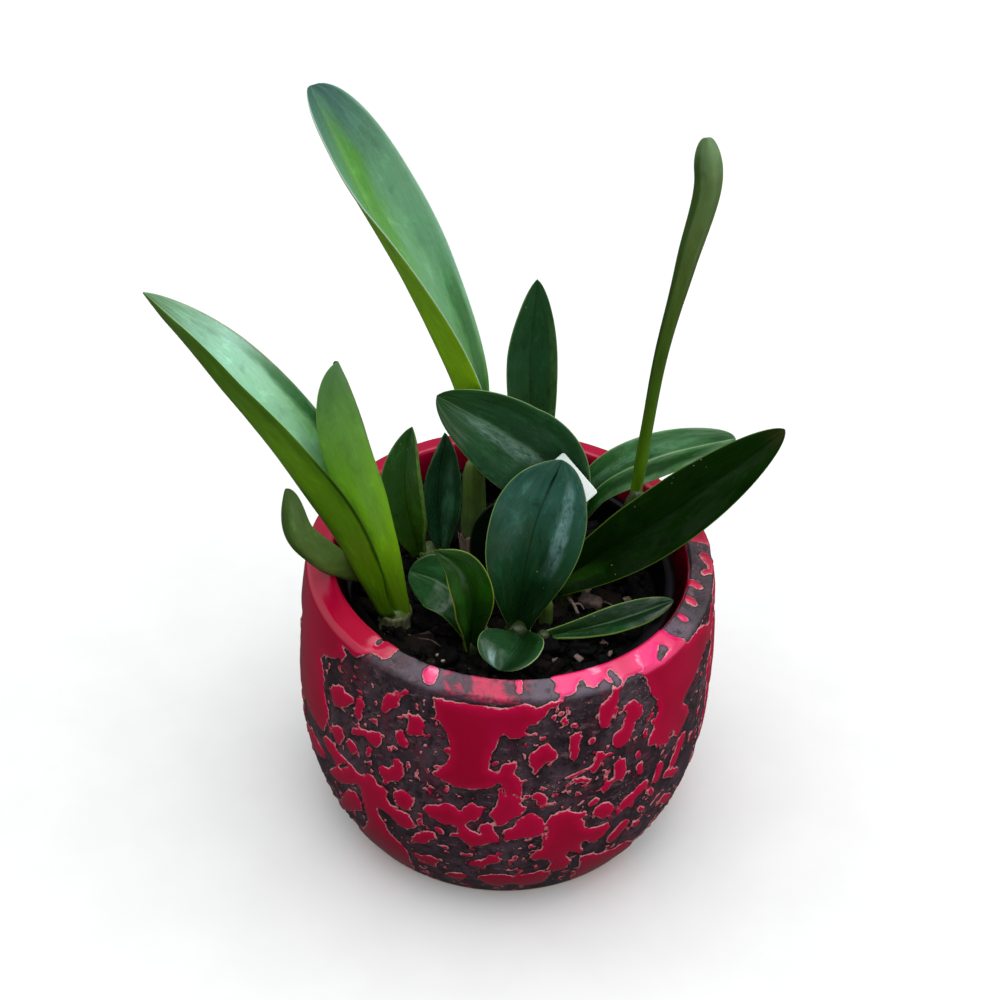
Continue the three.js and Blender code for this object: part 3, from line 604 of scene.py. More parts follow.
def glaze_material():
    n = paint("raised_red_glaze")
    where = n.place()
    edge = n.math("MULTIPLY_ADD", n.noise(where, 380, 2), 1.0, -0.9)
    edge = n.math("MULTIPLY_ADD", n.noise(where, 900, 2), 0.8, edge)
    depth = n.math("ADD", n.value("depth"), edge)
    height = n.feed(n.node("ShaderNodeSeparateXYZ"), [(0, where)]).outputs["Z"]
    rim_light, veil = n.value("rim_light"), n.value("veil")
    cloud = n.noise(where, 28, 3)
    grime = n.noise(where, 60, 4, 0.65, stretch=(1, 1, 0.45))
    red = n.range(depth, -0.06, 0.08)
    colour = n.mix(red, charcoal(n, where, depth, grime, rim_light, veil),
                   red_glaze(n, where, depth, height, cloud, rim_light))
    bare = n.lay((176, 150, 122), (150, 124, 98), n.noise(where, 500, 3), 0.4, 0.7)
    clay = n.range(height, 0.0022, 0.0012)
    colour = n.mix(clay, colour, bare)
    matt = n.mix(veil, n.range(grime, 0.3, 0.7, 0.34, 0.56), (0.16, 0.16, 0.16, 1))
    rough = n.range(red, 0, 1, matt, n.range(cloud, 0.3, 0.7, 0.1, 0.17), False)
    rough = n.math("MAXIMUM", rough, n.times(clay, 0.85))
    normal = n.bump(n.range(depth, -0.3, 0.5), 0.7, 0.0005)
    rough_skin = n.times(n.noise(where, 700, 4, 0.7), n.math("SUBTRACT", 1.0, red))
    normal = n.bump(rough_skin, 0.5, 0.0006, normal)
    normal = n.bump(n.noise(where, 160, 2), 0.12, 0.0005, normal)
    return n.finish(Base_Color=colour, Roughness=rough, Normal=normal)


# Grower's pot

def liner_radius(height):
    """Outer radius of the grower's pot at a height above its own foot."""
    return LINER_FOOT_RADIUS + (LINER_TOP_RADIUS - LINER_FOOT_RADIUS) * height / LINER_HEIGHT


def pot_plastic():
    n = paint("black_pot_plastic")
    where = n.place()
    mottle = n.noise(where, 40, 3)
    colour = n.lay((7, 5, 8), (15, 11, 17), mottle, 0.35, 0.7)
    dust = n.range(n.noise(where, 700, 4, 0.7), 0.6, 0.75)
    colour = n.mix(n.times(dust, 0.2), colour, (80, 70, 64))
    rough = n.range(mottle, 0.3, 0.7, 0.22, 0.42)
    ribs = n.noise(where, 500, 2, 0.5, stretch=(0.2, 0.2, 1))
    return n.finish(
        shine=0.1, Base_Color=colour, Roughness=rough, Normal=n.bump(ribs, 0.1, 0.0003))


def growers_pot():
    wall, top, rim, outer = LINER_WALL, LINER_TOP_RADIUS, LINER_RIM_RADIUS, liner_radius
    low = LINER_HEIGHT - LINER_LIP
    rows = [(12, 0), (outer(0) - 1, 0), (outer(0), 1)]
    rows += [(outer(z), z) for z in np.linspace(8, low - 0.5, 12)]
    rows += [(outer(low) + 0.4, low), (rim - 1.2, low), (rim - 0.5, low + 0.5)]
    rows += [(rim - 0.2, low + 2), (rim, LINER_HEIGHT - 0.7), (rim - 0.5, LINER_HEIGHT)]
    rows += [(top - wall + 0.4, LINER_HEIGHT), (top - wall, LINER_HEIGHT - 0.5)]
    rows += [(outer(z) - wall, z) for z in np.linspace(LINER_HEIGHT - 3, 3.4, 12)]
    rows += [(outer(2.4) - wall - 1, 2.4), (12, 2.4)]
    points = lathe_points([(r, z + LINER_FOOT) for r, z in rows], LINER_SIDES)
    faces = grid_faces(len(rows) + 1, LINER_SIDES, around=True)
    total = len(rows) * LINER_SIDES
    faces = [[index % total for index in face] for face in faces]
    thing = mesh_object("growers_pot_black", points, faces)
    thing.data.materials.append(pot_plastic())
    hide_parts("growers_pot")


# Leaves

# Each leaf's shape is as in the part's source. "upper" and "lower" are the colours of its sides
# from the base to the tip, and "rib" and "margin" the colours of its midrib and edge, with how
# strongly they show; on some leaves these colours carry painted sheen and painted shade, noted at
# each. "mottle" is how strongly the blade is mottled with darker patches and with pale bluish
# patches of painted sheen, "keel" how far the midrib stands out below, and "patches" how far the
# shine comes and goes and, above 0.5, whether the light bands are broken into patches. A band is
# drawn on the upper side (1) or the lower one (0), at a place across the blade from -1 to 1, with
# half its width, where it starts and ends along the blade, its colour and how strongly it shows.
# Bands hold real streaks and margins, and also painted highlights, glints and shadows. Bands
# darker than DULL are dull.
DULL = 190
COMMON_LEAF = dict(
    stalk=0.3, widest=0.5, swell=1.3, point=0.55, fold=(45, 20), slot="leaf", patches=0.8,
    lower=[(60, 84, 30), (48, 74, 30), (44, 72, 36), (44, 70, 38)],
    mottle=0.2, keel=0.3, rough=0.26, shine=0.5, bands=[])
LEAVES = {
    "leaf_tall": dict(
        width=40, widest=0.6, point=0.43, fold=(60, 40), faces=((10, 0), (-50, 45)), slot="young_leaf",
        spine=[(-15, 14, 142), (-22, 18, 174), (-42, 29, 214), (-61.3, 41, 246), (-77.3, 55, 274)],
        # Painted sheen: the pale sea-green upper colours and the (130, 186, 136) band stand for sky
        # reflected on the blade.
        upper=[(60, 132, 12), (82, 142, 48), (104, 162, 118), (106, 158, 120), (74, 112, 104)],
        lower=[(146, 200, 6), (136, 190, 4), (130, 184, 16), (122, 170, 90)],
        rib=((84, 132, 66), 0.4), margin=((206, 230, 214), 0.6), patches=0.3, mottle=0.1, keel=0.0,
        rough=0.32,
        bands=[(1, 0.1, 0.36, 0.2, 0.97, (98, 166, 48), 0.75),
               (1, 0.8, 0.18, 0.06, 0.5, (44, 104, 44), 0.85),
               (1, 0.42, 0.24, 0.24, 0.7, (130, 186, 136), 0.5),
               (1, 0.97, 0.07, 0.3, 1.0, (134, 182, 148), 0.5),
               (1, 0.3, 0.5, 0.86, 1.1, (80, 124, 120), 0.5)]),
    "leaf_left_long": dict(
        width=42, stalk=0.28, widest=0.45, point=0.8, fold=(62, 50), faces=((10, 30), (-10, 55)),
        slot="young_leaf",
        spine=[(-46, -20, 99), (-63, -19.5, 137), (-83.7, -15, 169.2), (-106.2, -8, 198.8),
               (-128.4, 0, 223)],
        # Painted sheen: the pale upper colours (148, 208, 142) and (178, 226, 204), and the (176, 228,
        # 198) band.
        upper=[(60, 100, 6), (98, 156, 38), (148, 208, 142), (178, 226, 204), (106, 146, 98)],
        lower=[(84, 130, 4), (88, 138, 2), (110, 164, 14), (86, 134, 10), (94, 134, 48)],
        rib=((150, 196, 130), 0.2), margin=((104, 140, 50), 0.25), patches=0.4, mottle=0.12, keel=0.0,
        rough=0.3,
        bands=[(1, 0.9, 0.15, 0.36, 0.74, (42, 104, 46), 0.85),
               (1, 0.45, 0.34, 0.4, 0.84, (176, 228, 198), 0.7),
               (1, 1.0, 0.06, 0.6, 0.95, (118, 104, 76), 0.5),
               (0, -0.95, 0.24, 0.3, 0.9, (76, 122, 8), 0.7),
               # Painted shadow: the (30, 56, 4) bands along both margins near the base, where this blade
               # meets leaf_left_inner.
               (0, -0.1, 0.3, 0.0, 0.45, (74, 116, 4), 0.6), (0, -1.0, 0.1, 0.0, 0.5, (30, 56, 4), 0.9),
               (1, -1.0, 0.1, 0.0, 0.5, (30, 56, 4), 0.9), (0, 1.0, 0.1, 0.0, 0.5, (30, 56, 4), 0.9),
               (1, 1.0, 0.1, 0.0, 0.5, (30, 56, 4), 0.9)]),
    "leaf_left_inner": dict(
        width=32, widest=0.62, fold=(60, 50), faces=((165, -10), (160, -30)), slot="young_leaf",
        spine=[(-36, -18, 97), (-43.2, -16, 141), (-52.7, -13, 176), (-62, -10, 206)],
        upper=[(80, 110, 14), (64, 104, 40), (60, 100, 54), (70, 100, 60)],
        lower=[(92, 130, 8), (120, 174, 14), (110, 164, 32), (90, 140, 54), (84, 126, 76)],
        rib=((120, 150, 60), 0.0), margin=((160, 184, 90), 0.5), patches=0.3, mottle=0.1, keel=0.0,
        rough=0.4, shine=0.35,
        bands=[(0, 0.95, 0.3, 0.0, 0.5, (72, 104, 8), 0.5),
               (0, -0.1, 0.16, 0.5, 1.0, (118, 126, 76), 0.5),
               (0, 0.4, 0.26, 0.3, 0.9, (110, 162, 72), 0.4)]),
    "leaf_left_small": dict(
        width=21, stalk=0.36, widest=0.6, swell=1.5, fold=(62, 45), faces=((80, 75), (62, -38)),
        spine=[(-48, -4, 97), (-53, -9, 105.5), (-61, -17, 115), (-69, -25, 126.5), (-77, -29.5, 142),
               (-79, -23, 160)],
        upper=[(84, 104, 64), (78, 98, 64), (60, 84, 44), (50, 70, 36)],
        lower=[(112, 142, 50), (96, 126, 52), (84, 114, 50), (76, 104, 46)],
        rib=((60, 80, 40), 0.0), margin=((124, 150, 80), 0.5), patches=0.4, mottle=0.16, keel=0.0,
        rough=0.4, shine=0.4,
        bands=[(0, 0.1, 0.34, 0.4, 1.0, (58, 84, 34), 0.7)]),
    "leaf_back_left": dict(
        width=20, stalk=0.36, point=0.75, faces=((-90, 20), (-120, 20)),
        spine=[(-35, 18, 97), (-39, 20, 113), (-41, 22, 131), (-39, 26, 152)],
        upper=[(44, 78, 10), (58, 100, 24), (50, 92, 36), (46, 88, 40)],
        rib=((10, 28, 8), 0.4), margin=((122, 152, 84), 0.7), shine=0.4,
        bands=[(1, 0.93, 0.1, 0.0, 1.0, (112, 152, 58), 0.9),
               (1, -0.45, 0.3, 0.2, 0.9, (50, 96, 46), 0.6)]),
    "leaf_back_inner": dict(
        width=19, stalk=0.36, point=0.75, fold=(45, 30), faces=((-60, 20), (-60, 20)),
        spine=[(-27, 20, 97), (-29, 24, 110), (-29, 27, 128), (-27, 30, 147)],
        upper=[(26, 62, 30), (36, 80, 46), (38, 80, 52), (34, 68, 44)],
        rib=((8, 28, 14), 0.6), margin=((84, 124, 84), 0.5), rough=0.24,
        bands=[(1, 0.5, 0.3, 0.05, 0.8, (84, 132, 104), 0.7)]),
    "leaf_rear": dict(
        width=21, stalk=0.36, widest=0.6, point=0.7, faces=((-75, 10), (-75, 10)),
        spine=[(8, 35, 108), (5, 38, 140), (3, 42, 174), (4, 45, 207)],
        upper=[(36, 68, 26), (42, 78, 36), (38, 78, 46), (36, 74, 38)],
        rib=((10, 28, 8), 0.4), margin=((112, 142, 84), 0.7), mottle=0.16, rough=0.28, shine=0.4,
        bands=[(1, 0.86, 0.16, 0.2, 0.9, (72, 104, 54), 0.6)]),
    "leaf_arching": dict(
        width=36, widest=0.6, swell=1.8, point=0.6, fold=(45, 15), faces=((-130, 25), (-100, 30)),
        spine=[(18, 17, 104), (20, 15, 127), (13, 13, 147), (-4, 9, 164), (-29, 6, 182)],
        upper=[(20, 46, 12), (30, 64, 30), (50, 94, 62), (42, 82, 52), (34, 70, 30)],
        rib=((104, 138, 92), 0.55), margin=((130, 160, 96), 0.7), rough=0.25,
        # Painted reflection: the pale (132, 170, 152) and (120, 156, 130) bands.
        bands=[(1, -0.14, 0.26, 0.42, 0.9, (132, 170, 152), 0.75),
               (1, 0.45, 0.24, 0.3, 0.5, (120, 156, 130), 0.6),
               (1, -0.5, 0.3, 0.45, 0.85, (62, 110, 72), 0.5),
               (1, 0.8, 0.2, 0.45, 0.9, (28, 64, 28), 0.6)]),
    "leaf_rear_right": dict(
        width=20, widest=0.55, point=0.5, faces=((-110, 50), (-100, 60)),
        spine=[(24, 31, 102), (32, 30, 125), (52, 34, 137), (82, 40, 144)],
        upper=[(28, 60, 22), (36, 80, 34), (52, 104, 52), (64, 116, 66), (52, 96, 54)],
        rib=((150, 180, 130), 0.65), margin=((120, 150, 90), 0.7),
        bands=[(1, 0.5, 0.42, 0.1, 0.9, (20, 56, 16), 0.9),
               (1, -0.35, 0.26, 0.3, 0.85, (104, 156, 116), 0.7)]),
    "leaf_right_upright": dict(
        width=18, stalk=0.42, widest=0.85, swell=6, point=0.5, fold=(60, 58), faces=((90, 0), (90, -30)),
        slot="young_leaf",
        spine=[(45, 16, 131), (46.6, 17, 161), (49.4, 20, 194), (54.8, 24, 229), (60, 30, 258),
               (57.5, 35, 273.5)],
        upper=[(80, 116, 10), (58, 90, 30), (54, 84, 50), (80, 110, 80)],
        lower=[(92, 138, 0), (66, 104, 4), (62, 92, 16), (78, 100, 40), (92, 118, 64), (112, 144, 98)],
        rib=((60, 86, 30), 0.0), margin=((112, 136, 70), 0.4), patches=0.3, mottle=0.1, keel=0.0,
        rough=0.4, shine=0.3,
        # Painted shade: the (46, 72, 26) band darkens the shadowed side of the folded blade.
        bands=[(0, 0.72, 0.34, 0.28, 0.95, (46, 72, 26), 0.75),
               (0, -0.3, 0.2, 0.55, 0.9, (104, 126, 88), 0.5)]),
    "leaf_right_broad": dict(
        width=26, stalk=0.5, widest=0.48, swell=0.9, point=0.6, fold=(45, 12),
        faces=((-100, 25), (-100, 25)),
        spine=[(17, 0, 102), (33, 4, 113), (51, 6, 128), (73, 7, 150.5), (94.4, 8, 174)],
        upper=[(12, 38, 3), (9, 32, 2), (11, 38, 3), (16, 44, 6)],
        lower=[(54, 76, 26), (42, 66, 26), (40, 64, 28), (40, 62, 30)],
        rib=((4, 14, 2), 0.4), margin=((98, 130, 46), 0.6), rough=0.28, shine=0.12,
        bands=[(1, 0.0, 1.3, 0.975, 1.2, (92, 78, 50), 0.9),
               (1, 0.3, 0.4, 0.0, 0.22, (44, 84, 24), 0.7)]),
    "leaf_low_right": dict(
        width=11.5, stalk=0.4, point=0.65, fold=(40, 15), faces=((-90, 60), (-90, 60)),
        spine=[(14, -24, 97), (32, -22.5, 102), (48, -21, 108.5), (60, -18, 113)],
        upper=[(24, 60, 14), (22, 56, 24), (20, 52, 26), (24, 54, 28)],
        rib=((70, 104, 64), 0.5), margin=((128, 164, 64), 0.8), mottle=0.36, rough=0.24,
        bands=[(1, 0.3, 0.4, 0.5, 1.0, (12, 34, 18), 0.6)]),
    "leaf_centre": dict(
        width=37, widest=0.55, fold=(45, 10), faces=((-80, 30), (-70, 30)),
        spine=[(4, -20, 99), (5, -20, 125), (9, -16, 150), (16, -10, 169)],
        upper=[(12, 42, 10), (18, 52, 22), (30, 70, 46), (46, 90, 76), (42, 82, 68)],
        lower=[(56, 80, 30), (46, 72, 32), (44, 70, 36), (44, 70, 38)],
        rib=((6, 24, 12), 0.5), margin=((124, 156, 76), 0.7), mottle=0.24, rough=0.2,
        # Painted glints: the pale bluish (122, 164, 162) band.
        bands=[(1, 0.0, 0.07, 0.8, 0.97, (8, 22, 12), 0.85),
               (1, 0.55, 0.2, 0.36, 0.9, (122, 164, 162), 0.65),
               (1, -0.5, 0.3, 0.45, 0.9, (62, 104, 90), 0.5),
               (1, 0.45, 0.3, 0.2, 0.5, (12, 38, 18), 0.6)]),
    "leaf_front": dict(
        width=16.5, stalk=0.32, point=0.95, fold=(45, 12), faces=((-70, 20), (-70, 20)),
        spine=[(-13, -31.5, 96), (-13.2, -31.5, 110), (-13.6, -32, 124), (-18, -29.5, 134),
               (-27, -26, 138)],
        upper=[(14, 44, 4), (20, 54, 6), (22, 58, 8), (24, 60, 12)],
        lower=[(54, 76, 26), (42, 66, 26), (40, 64, 28), (40, 62, 30)],
        rib=((8, 30, 4), 0.4), margin=((140, 164, 50), 0.7), shine=0.3,
        bands=[(1, -0.6, 0.3, 0.2, 0.7, (40, 84, 22), 0.6)]),
    "leaf_curled": dict(
        width=26, stalk=0.36, widest=0.62, swell=2.2, point=0.4, fold=(40, 20),
        faces=((90, 75), (90, 80)),
        spine=[(5, -27, 99), (4.5, -34, 102), (1.5, -42, 104.3), (-2, -49, 103)],
        upper=[(24, 56, 20), (32, 68, 34), (38, 76, 44), (40, 76, 52)],
        lower=[(62, 88, 34), (52, 80, 36), (50, 80, 42), (50, 76, 42)],
        rib=((20, 48, 20), 0.6), margin=((150, 178, 110), 0.8), shine=0.4,
        # Painted shade: the (14, 44, 14) band darkens the half cupped away from the light. Painted
        # reflection: the whitish (150, 178, 180) band.
        bands=[(1, -0.5, 0.5, 0.0, 1.1, (14, 44, 14), 0.9),
               (1, 0.5, 0.2, 0.76, 0.98, (150, 178, 180), 0.7)]),
    "leaf_shaded": dict(
        width=18, stalk=0.4, point=0.65, faces=((-90, 20), (-90, 20)),
        spine=[(-5, 3, 97), (-7, 3, 110), (-7, 4, 124), (-4, 6, 136)],
        upper=[(6, 14, 4), (6, 16, 5), (8, 20, 6)],
        lower=[(20, 34, 12), (20, 34, 12)],
        rib=((4, 10, 3), 0.3), margin=((40, 62, 28), 0.5), mottle=0.1, rough=0.34, shine=0.15),
    "leaf_behind_front": dict(
        width=22, stalk=0.4, fold=(40, 15), faces=((-90, 40), (-90, 40)),
        spine=[(-12, -27, 98), (-18, -22, 111), (-26, -15, 113), (-37, -9, 112)],
        upper=[(24, 56, 18), (26, 66, 28), (32, 76, 37), (40, 84, 44)],
        rib=((104, 140, 92), 0.55), margin=((112, 146, 70), 0.7), mottle=0.24, rough=0.24, shine=0.45,
        bands=[(1, 0.4, 0.3, 0.0, 0.6, (16, 44, 18), 0.6)]),
}


def spine_point(spine, share):
    """A point of the smooth curve through the spine's points, which are eased by their spacing."""
    points = np.asarray(spine, float)
    last = len(points) - 1
    at = min(max(share, 0), 1) * last
    index = min(int(at), last - 1)
    weight = at - index
    p1, p2 = points[index], points[index + 1]
    p0 = points[index - 1] if index > 0 else 2 * points[0] - points[1]
    p3 = points[index + 2] if index + 2 <= last else 2 * points[last] - points[last - 1]
    d0, d1, d2 = (np.sum((b - a) ** 2) ** 0.25 for a, b in ((p0, p1), (p1, p2), (p2, p3)))
    t1 = ((p1 - p0) / d0 - (p2 - p0) / (d0 + d1) + (p2 - p1) / d1) * d1
    t2 = ((p2 - p1) / d1 - (p3 - p1) / (d1 + d2) + (p3 - p2) / d2) * d1
    curve = (p1, t1, -3 * p1 + 3 * p2 - 2 * t1 - t2, 2 * p1 - 2 * p2 + t1 + t2)
    return sum(part * weight ** power for power, part in enumerate(curve))


def direction(degrees):
    around, up = np.radians(degrees)
    return np.array([np.cos(around) * np.cos(up), np.sin(around) * np.cos(up), np.sin(up)])


def width_share(leaf, along):
    """Half the blade's width at a place along it, as a share of the greatest half width."""
    if along < leaf["widest"]:
        rise = math.sin(math.pi / 2 * along / leaf["widest"])
        return leaf["stalk"] + (1 - leaf["stalk"]) * rise ** leaf["swell"]
    past = (along - leaf["widest"]) / (1 - leaf["widest"])
    return max((1 - past ** 2) ** leaf["point"], 0.02)


def section(across, half, fold):
    """The middle line of a folded blade's section, across and above the midrib."""
    reach = math.hypot(1, KEEL_SOFTNESS) - KEEL_SOFTNESS
    raised = (np.hypot(across, KEEL_SOFTNESS) - KEEL_SOFTNESS) / reach
    return np.stack([half * across * math.cos(fold), half * raised * math.sin(fold)], axis=1)


def blade(leaf, seed):
    """Points of a leaf, ring by ring round its section, with their values for the material."""
    spread = np.sin(np.linspace(-np.pi / 2, np.pi / 2, ACROSS + 1))
    waver = Noise(seed)
    rings, values = [], {"along": [], "across": [], "face": []}
    for station in range(STATIONS + 1):
        along = 1 - (1 - station / STATIONS) ** STATION_EASE
        centre = spine_point(leaf["spine"], along)
        tangent = spine_point(leaf["spine"], along + 1e-3) - spine_point(leaf["spine"], along - 1e-3)
        tangent /= np.linalg.norm(tangent)
        facing = (1 - along) * direction(leaf["faces"][0]) + along * direction(leaf["faces"][1])
        normal = facing - facing.dot(tangent) * tangent
        normal /= np.linalg.norm(normal)
        side = np.cross(tangent, normal)
        half = leaf["width"] / 2 * width_share(leaf, along)
        opened = min(along / OPEN_BY, 1)
        fold = math.radians(leaf["fold"][0] * (1 - opened) + leaf["fold"][1] * opened)
        middle = section(spread, half, fold)
        slope = section(spread + 0.01, half, fold) - section(spread - 0.01, half, fold)
        out = np.stack([-slope[:, 1], slope[:, 0]], axis=1)
        out /= np.linalg.norm(out, axis=1, keepdims=True)
        thick = BLADE_THICKNESS + (MARGIN_THICKNESS - BLADE_THICKNESS) * spread ** 2
        thick = thick * np.sqrt(np.clip(1 - (np.abs(spread) - 0.9).clip(0) ** 2 / 0.0101, 0.0, 1))
        thick = thick * min(1, 0.25 + 9 * (1 - along))
        flat = spread * half
        groove = 0.4 * np.exp(-(flat / 0.9) ** 2) * smooth(0, 0.1, along) * smooth(1, 0.93, along)
        keel = leaf["keel"] * np.exp(-(flat / 1.1) ** 2) * smooth(1, 0.9, along)
        where = np.stack([flat / 13, np.full_like(flat, along * 5), np.full_like(flat, seed)], axis=1)
        lift = 0.55 * waver(where) * smooth(0, 0.15, along)
        top = middle + out * (thick / 2 - groove + lift)[:, None]
        low = middle - out * (thick / 2 + keel - lift)[:, None]
        ring = np.vstack([top, low[-2:0:-1]])
        rings.append(centre + ring[:, :1] * side + ring[:, 1:] * normal)
        values["along"].append(np.full(len(ring), along))
        values["across"].append(np.concatenate([spread, spread[-2:0:-1]]))
        values["face"].append(np.concatenate([np.ones(len(top)), np.zeros(len(top) - 2)]))
    faces = capped_faces(len(rings), len(rings[0]), flip=True)
    return np.vstack(rings), faces, {key: np.concatenate(parts) for key, parts in values.items()}


def band_share(n, band, along, across, is_upper, ragged):
    """How strongly a band covers each place, with its sides made ragged by noise."""
    side, centre, half, start, end = band[:5]
    away = n.math("ABSOLUTE", n.math("SUBTRACT", across, centre))
    away = n.math("MULTIPLY_ADD", n.math("SUBTRACT", ragged, 0.5), half, away)
    share = n.times(n.range(away, half, half * 0.3), n.range(along, start - 0.06, start + 0.1))
    share = n.times(share, n.range(along, end + 0.06, end - 0.1))
    return n.times(share, is_upper if side else n.math("SUBTRACT", 1.0, is_upper))


def leaf_material(name, leaf):
    n = paint(name)
    width = leaf["width"]
    length = sum(math.dist(a, b) for a, b in zip(leaf["spine"], leaf["spine"][1:]))
    along, across, face = n.value("along"), n.value("across"), n.value("face")
    where = n.place()
    is_upper = n.range(face, 0.35, 0.65)
    colour = n.mix(is_upper, n.ramp(along, shades(*leaf["lower"])), n.ramp(along, shades(*leaf["upper"])))
    flat = n.feed(n.node("ShaderNodeCombineXYZ"), enumerate((
        n.times(across, width / 2), n.times(along, length), n.times(face, 40.0)))).outputs[0]
    ragged = n.noise(flat, 1.0, 3, 0.6, stretch=(0.35, 0.07, 1))
    # Noise that breaks the light bands into patches, so that their painted glints come and go.
    patchy = n.noise(flat, 1.0, 5, 0.7, stretch=(0.5, 0.18, 1), distortion=0.8)
    patchy = n.range(patchy, 0.36, 0.58, 0.25, 1)
    gloss = n.noise(flat, 1.0, 4, 0.6, stretch=(0.16, 0.06, 1), distortion=0.6)
    gloss = n.range(gloss, 0.4, 0.58, leaf["shine"] * (1 - leaf["patches"]), leaf["shine"])
    for band in leaf["bands"]:
        share = band_share(n, band, along, across, is_upper, ragged)
        shade, strength = band[5:]
        if sum(shade) < DULL:
            gloss = n.times(gloss, n.math("MULTIPLY_ADD", share, -0.8, 1.0))
        elif leaf["patches"] > 0.5:
            share = n.times(share, patchy)
        colour = n.mix(n.times(share, strength), colour, shade)
    veins = n.noise(flat, 1.0, 2, 0.6, stretch=(1.1, 0.03, 1))
    colour = n.mix(n.range(veins, 0.4, 0.7, 0, 0.16), colour, (150, 190, 110), "SOFT_LIGHT")
    # Mottling: darker patches, and pale bluish patches that are painted sheen.
    mottle = n.noise(flat, 1.0, 5, 0.65, stretch=(0.2, 0.1, 1), distortion=0.5)
    dark = n.mix(1.0, colour, (140, 156, 140), "MULTIPLY")
    light = n.mix(1.0, colour, (1.75, 1.85, 1.95, 1), "MULTIPLY")
    colour = n.mix(n.range(mottle, 0.3, 0.48, leaf["mottle"] * 2.4, 0), colour, dark)
    colour = n.mix(n.range(mottle, 0.54, 0.66, 0, leaf["mottle"] * 2.4), colour, light)
    off = n.math("ABSOLUTE", across)
    rib = n.range(n.times(off, width / 2), 0.6, 0.2)
    rib_colour, rib_strength = leaf["rib"]
    colour = n.mix(n.times(rib, rib_strength), colour, rib_colour)
    edge = n.range(n.times(n.math("SUBTRACT", 1.0, off), width / 2), 0.42, 0.12)
    edge_colour, edge_strength = leaf["margin"]
    colour = n.mix(n.times(edge, edge_strength), colour, edge_colour)
    specks = n.range(n.cells(where, 420), 0.12, 0.07)
    some = n.range(n.noise(where, 60, 2), 0.6, 0.7)
    colour = n.mix(n.times(n.times(specks, some), 0.5), colour, (206, 214, 190))
    wear = n.noise(flat, 1.0, 3, 0.6, stretch=(0.3, 0.12, 1))
    rough = n.range(wear, 0.35, 0.65, leaf["rough"] - 0.08, leaf["rough"] + 0.1)
    rough = n.math("ADD", rough, n.range(face, 0, 1, 0.12, 0, False))
    normal = n.bump(veins, 0.12, 0.0003)
    skin = n.noise(flat, 1.0, 3, 0.65, stretch=(2.2, 1.2, 1))
    normal = n.bump(skin, 0.08, 0.0003, normal)
    dents = n.noise(flat, 1.0, 2, 0.5, stretch=(0.22, 0.07, 1))
    normal = n.bump(dents, 0.4, 0.0014, normal)
    return n.finish(Base_Color=colour, Roughness=rough, Normal=normal, Specular_IOR_Level=gloss)


def leaves():
    for seed, (name, facts) in enumerate(LEAVES.items(), 100):
        leaf = {**COMMON_LEAF, **facts}
        points, faces, values = blade(leaf, seed)
        thing = mesh_object(name + "_blade", points, faces, values)
        thing.data.materials.append(leaf_material(name + "_skin", leaf))
        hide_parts(name)


# Canes

# Foot, top and radius as in the part's source, then how far up the dry sheath reaches, how
# ragged its edge is, and its kind
CANES = {
    "cane_left": ([-41, -17], [-41.5, -17, 102], 6.2, 0.93, 0.03, "green"),
    "cane_far_left": ([-46, -2], [-47.5, -4, 100], 3.4, 0.5, 1, "dry"),
    "cane_back_left": ([-31, 18], [-31, 19, 101], 5.5, 0.7, 1, "dry"),
    "cane_tall": ([-13, 12], [-15.5, 15, 147], 4.8, 0.5, 1, "tan"),
    "cane_rear": ([8, 33], [8, 35, 112], 4.5, 0.6, 1, "dry"),
    "cane_arching": ([18, 18], [20, 17, 108], 4.5, 0.6, 1, "dry"),
    "cane_rear_right": ([22, 32], [24, 31, 106], 4.5, 0.6, 1, "dry"),
    "cane_right": ([34, 14], [46, 16, 136], 4.2, 0.42, 1, "dark"),
    "cane_low_right": ([20, -1], [20, 0, 104], 4.5, 0.6, 1, "dark"),
    "cane_centre": ([3, -22], [3.5, -23, 102], 5, 0.7, 1, "dark"),
    "cane_shaded": ([-4, 2], [-4.5, 2, 101], 4, 0.6, 1, "dark"),
    "cane_front": ([-11, -30], [-12.5, -30, 100], 4.2, 0.7, 1, "dark"),
    "cane_small": ([13, -25], [13.5, -24.5, 100], 3.2, 0.6, 1, "dark"),
    "sprout": ([14, -14], [14.5, -15, 107], 2.6, 0.5, 0.5, "fresh"),
}
CANE_PLACES = [0, 0.02, 0.3, 0.64, 0.69, 0.9, 0.98, 1]
CANE_SHARES = [0.68, 0.75, 1, 1.03, 0.92, 0.84, 0.56, 0.3]
CANE_SIDES = 40
CANE_ROWS = 46
SHEATH_ROWS = 26


class Stem:
    """A cane's foot, direction and length, with the ring of spokes that its skins are set on."""

    def __init__(self, foot, top, radius, seed):
        self.start = np.array([*foot, SOIL_HEIGHT - 16.0])
        self.axis = np.array(top, float) - self.start
        self.length = np.linalg.norm(self.axis)
        self.axis /= self.length
        side = np.cross(self.axis, [0, 1, 0])
        side /= np.linalg.norm(side)
        self.turn = np.linspace(0, 2 * np.pi, CANE_SIDES, endpoint=False)
        other = np.cross(self.axis, side)
        self.spokes = np.cos(self.turn)[:, None] * side + np.sin(self.turn)[:, None] * other
        self.radius = radius
        self.seed = seed
        self.waver = Noise(seed)

    def circle(self, size, height):
        """Places for noise: a circle round the stem at a height or heights."""
        return np.stack([np.cos(self.turn) * size, np.sin(self.turn) * size,
                         np.broadcast_to(height, CANE_SIDES)], axis=1)

    def fat(self, along):
        return self.radius * np.interp(along, CANE_PLACES, CANE_SHARES)


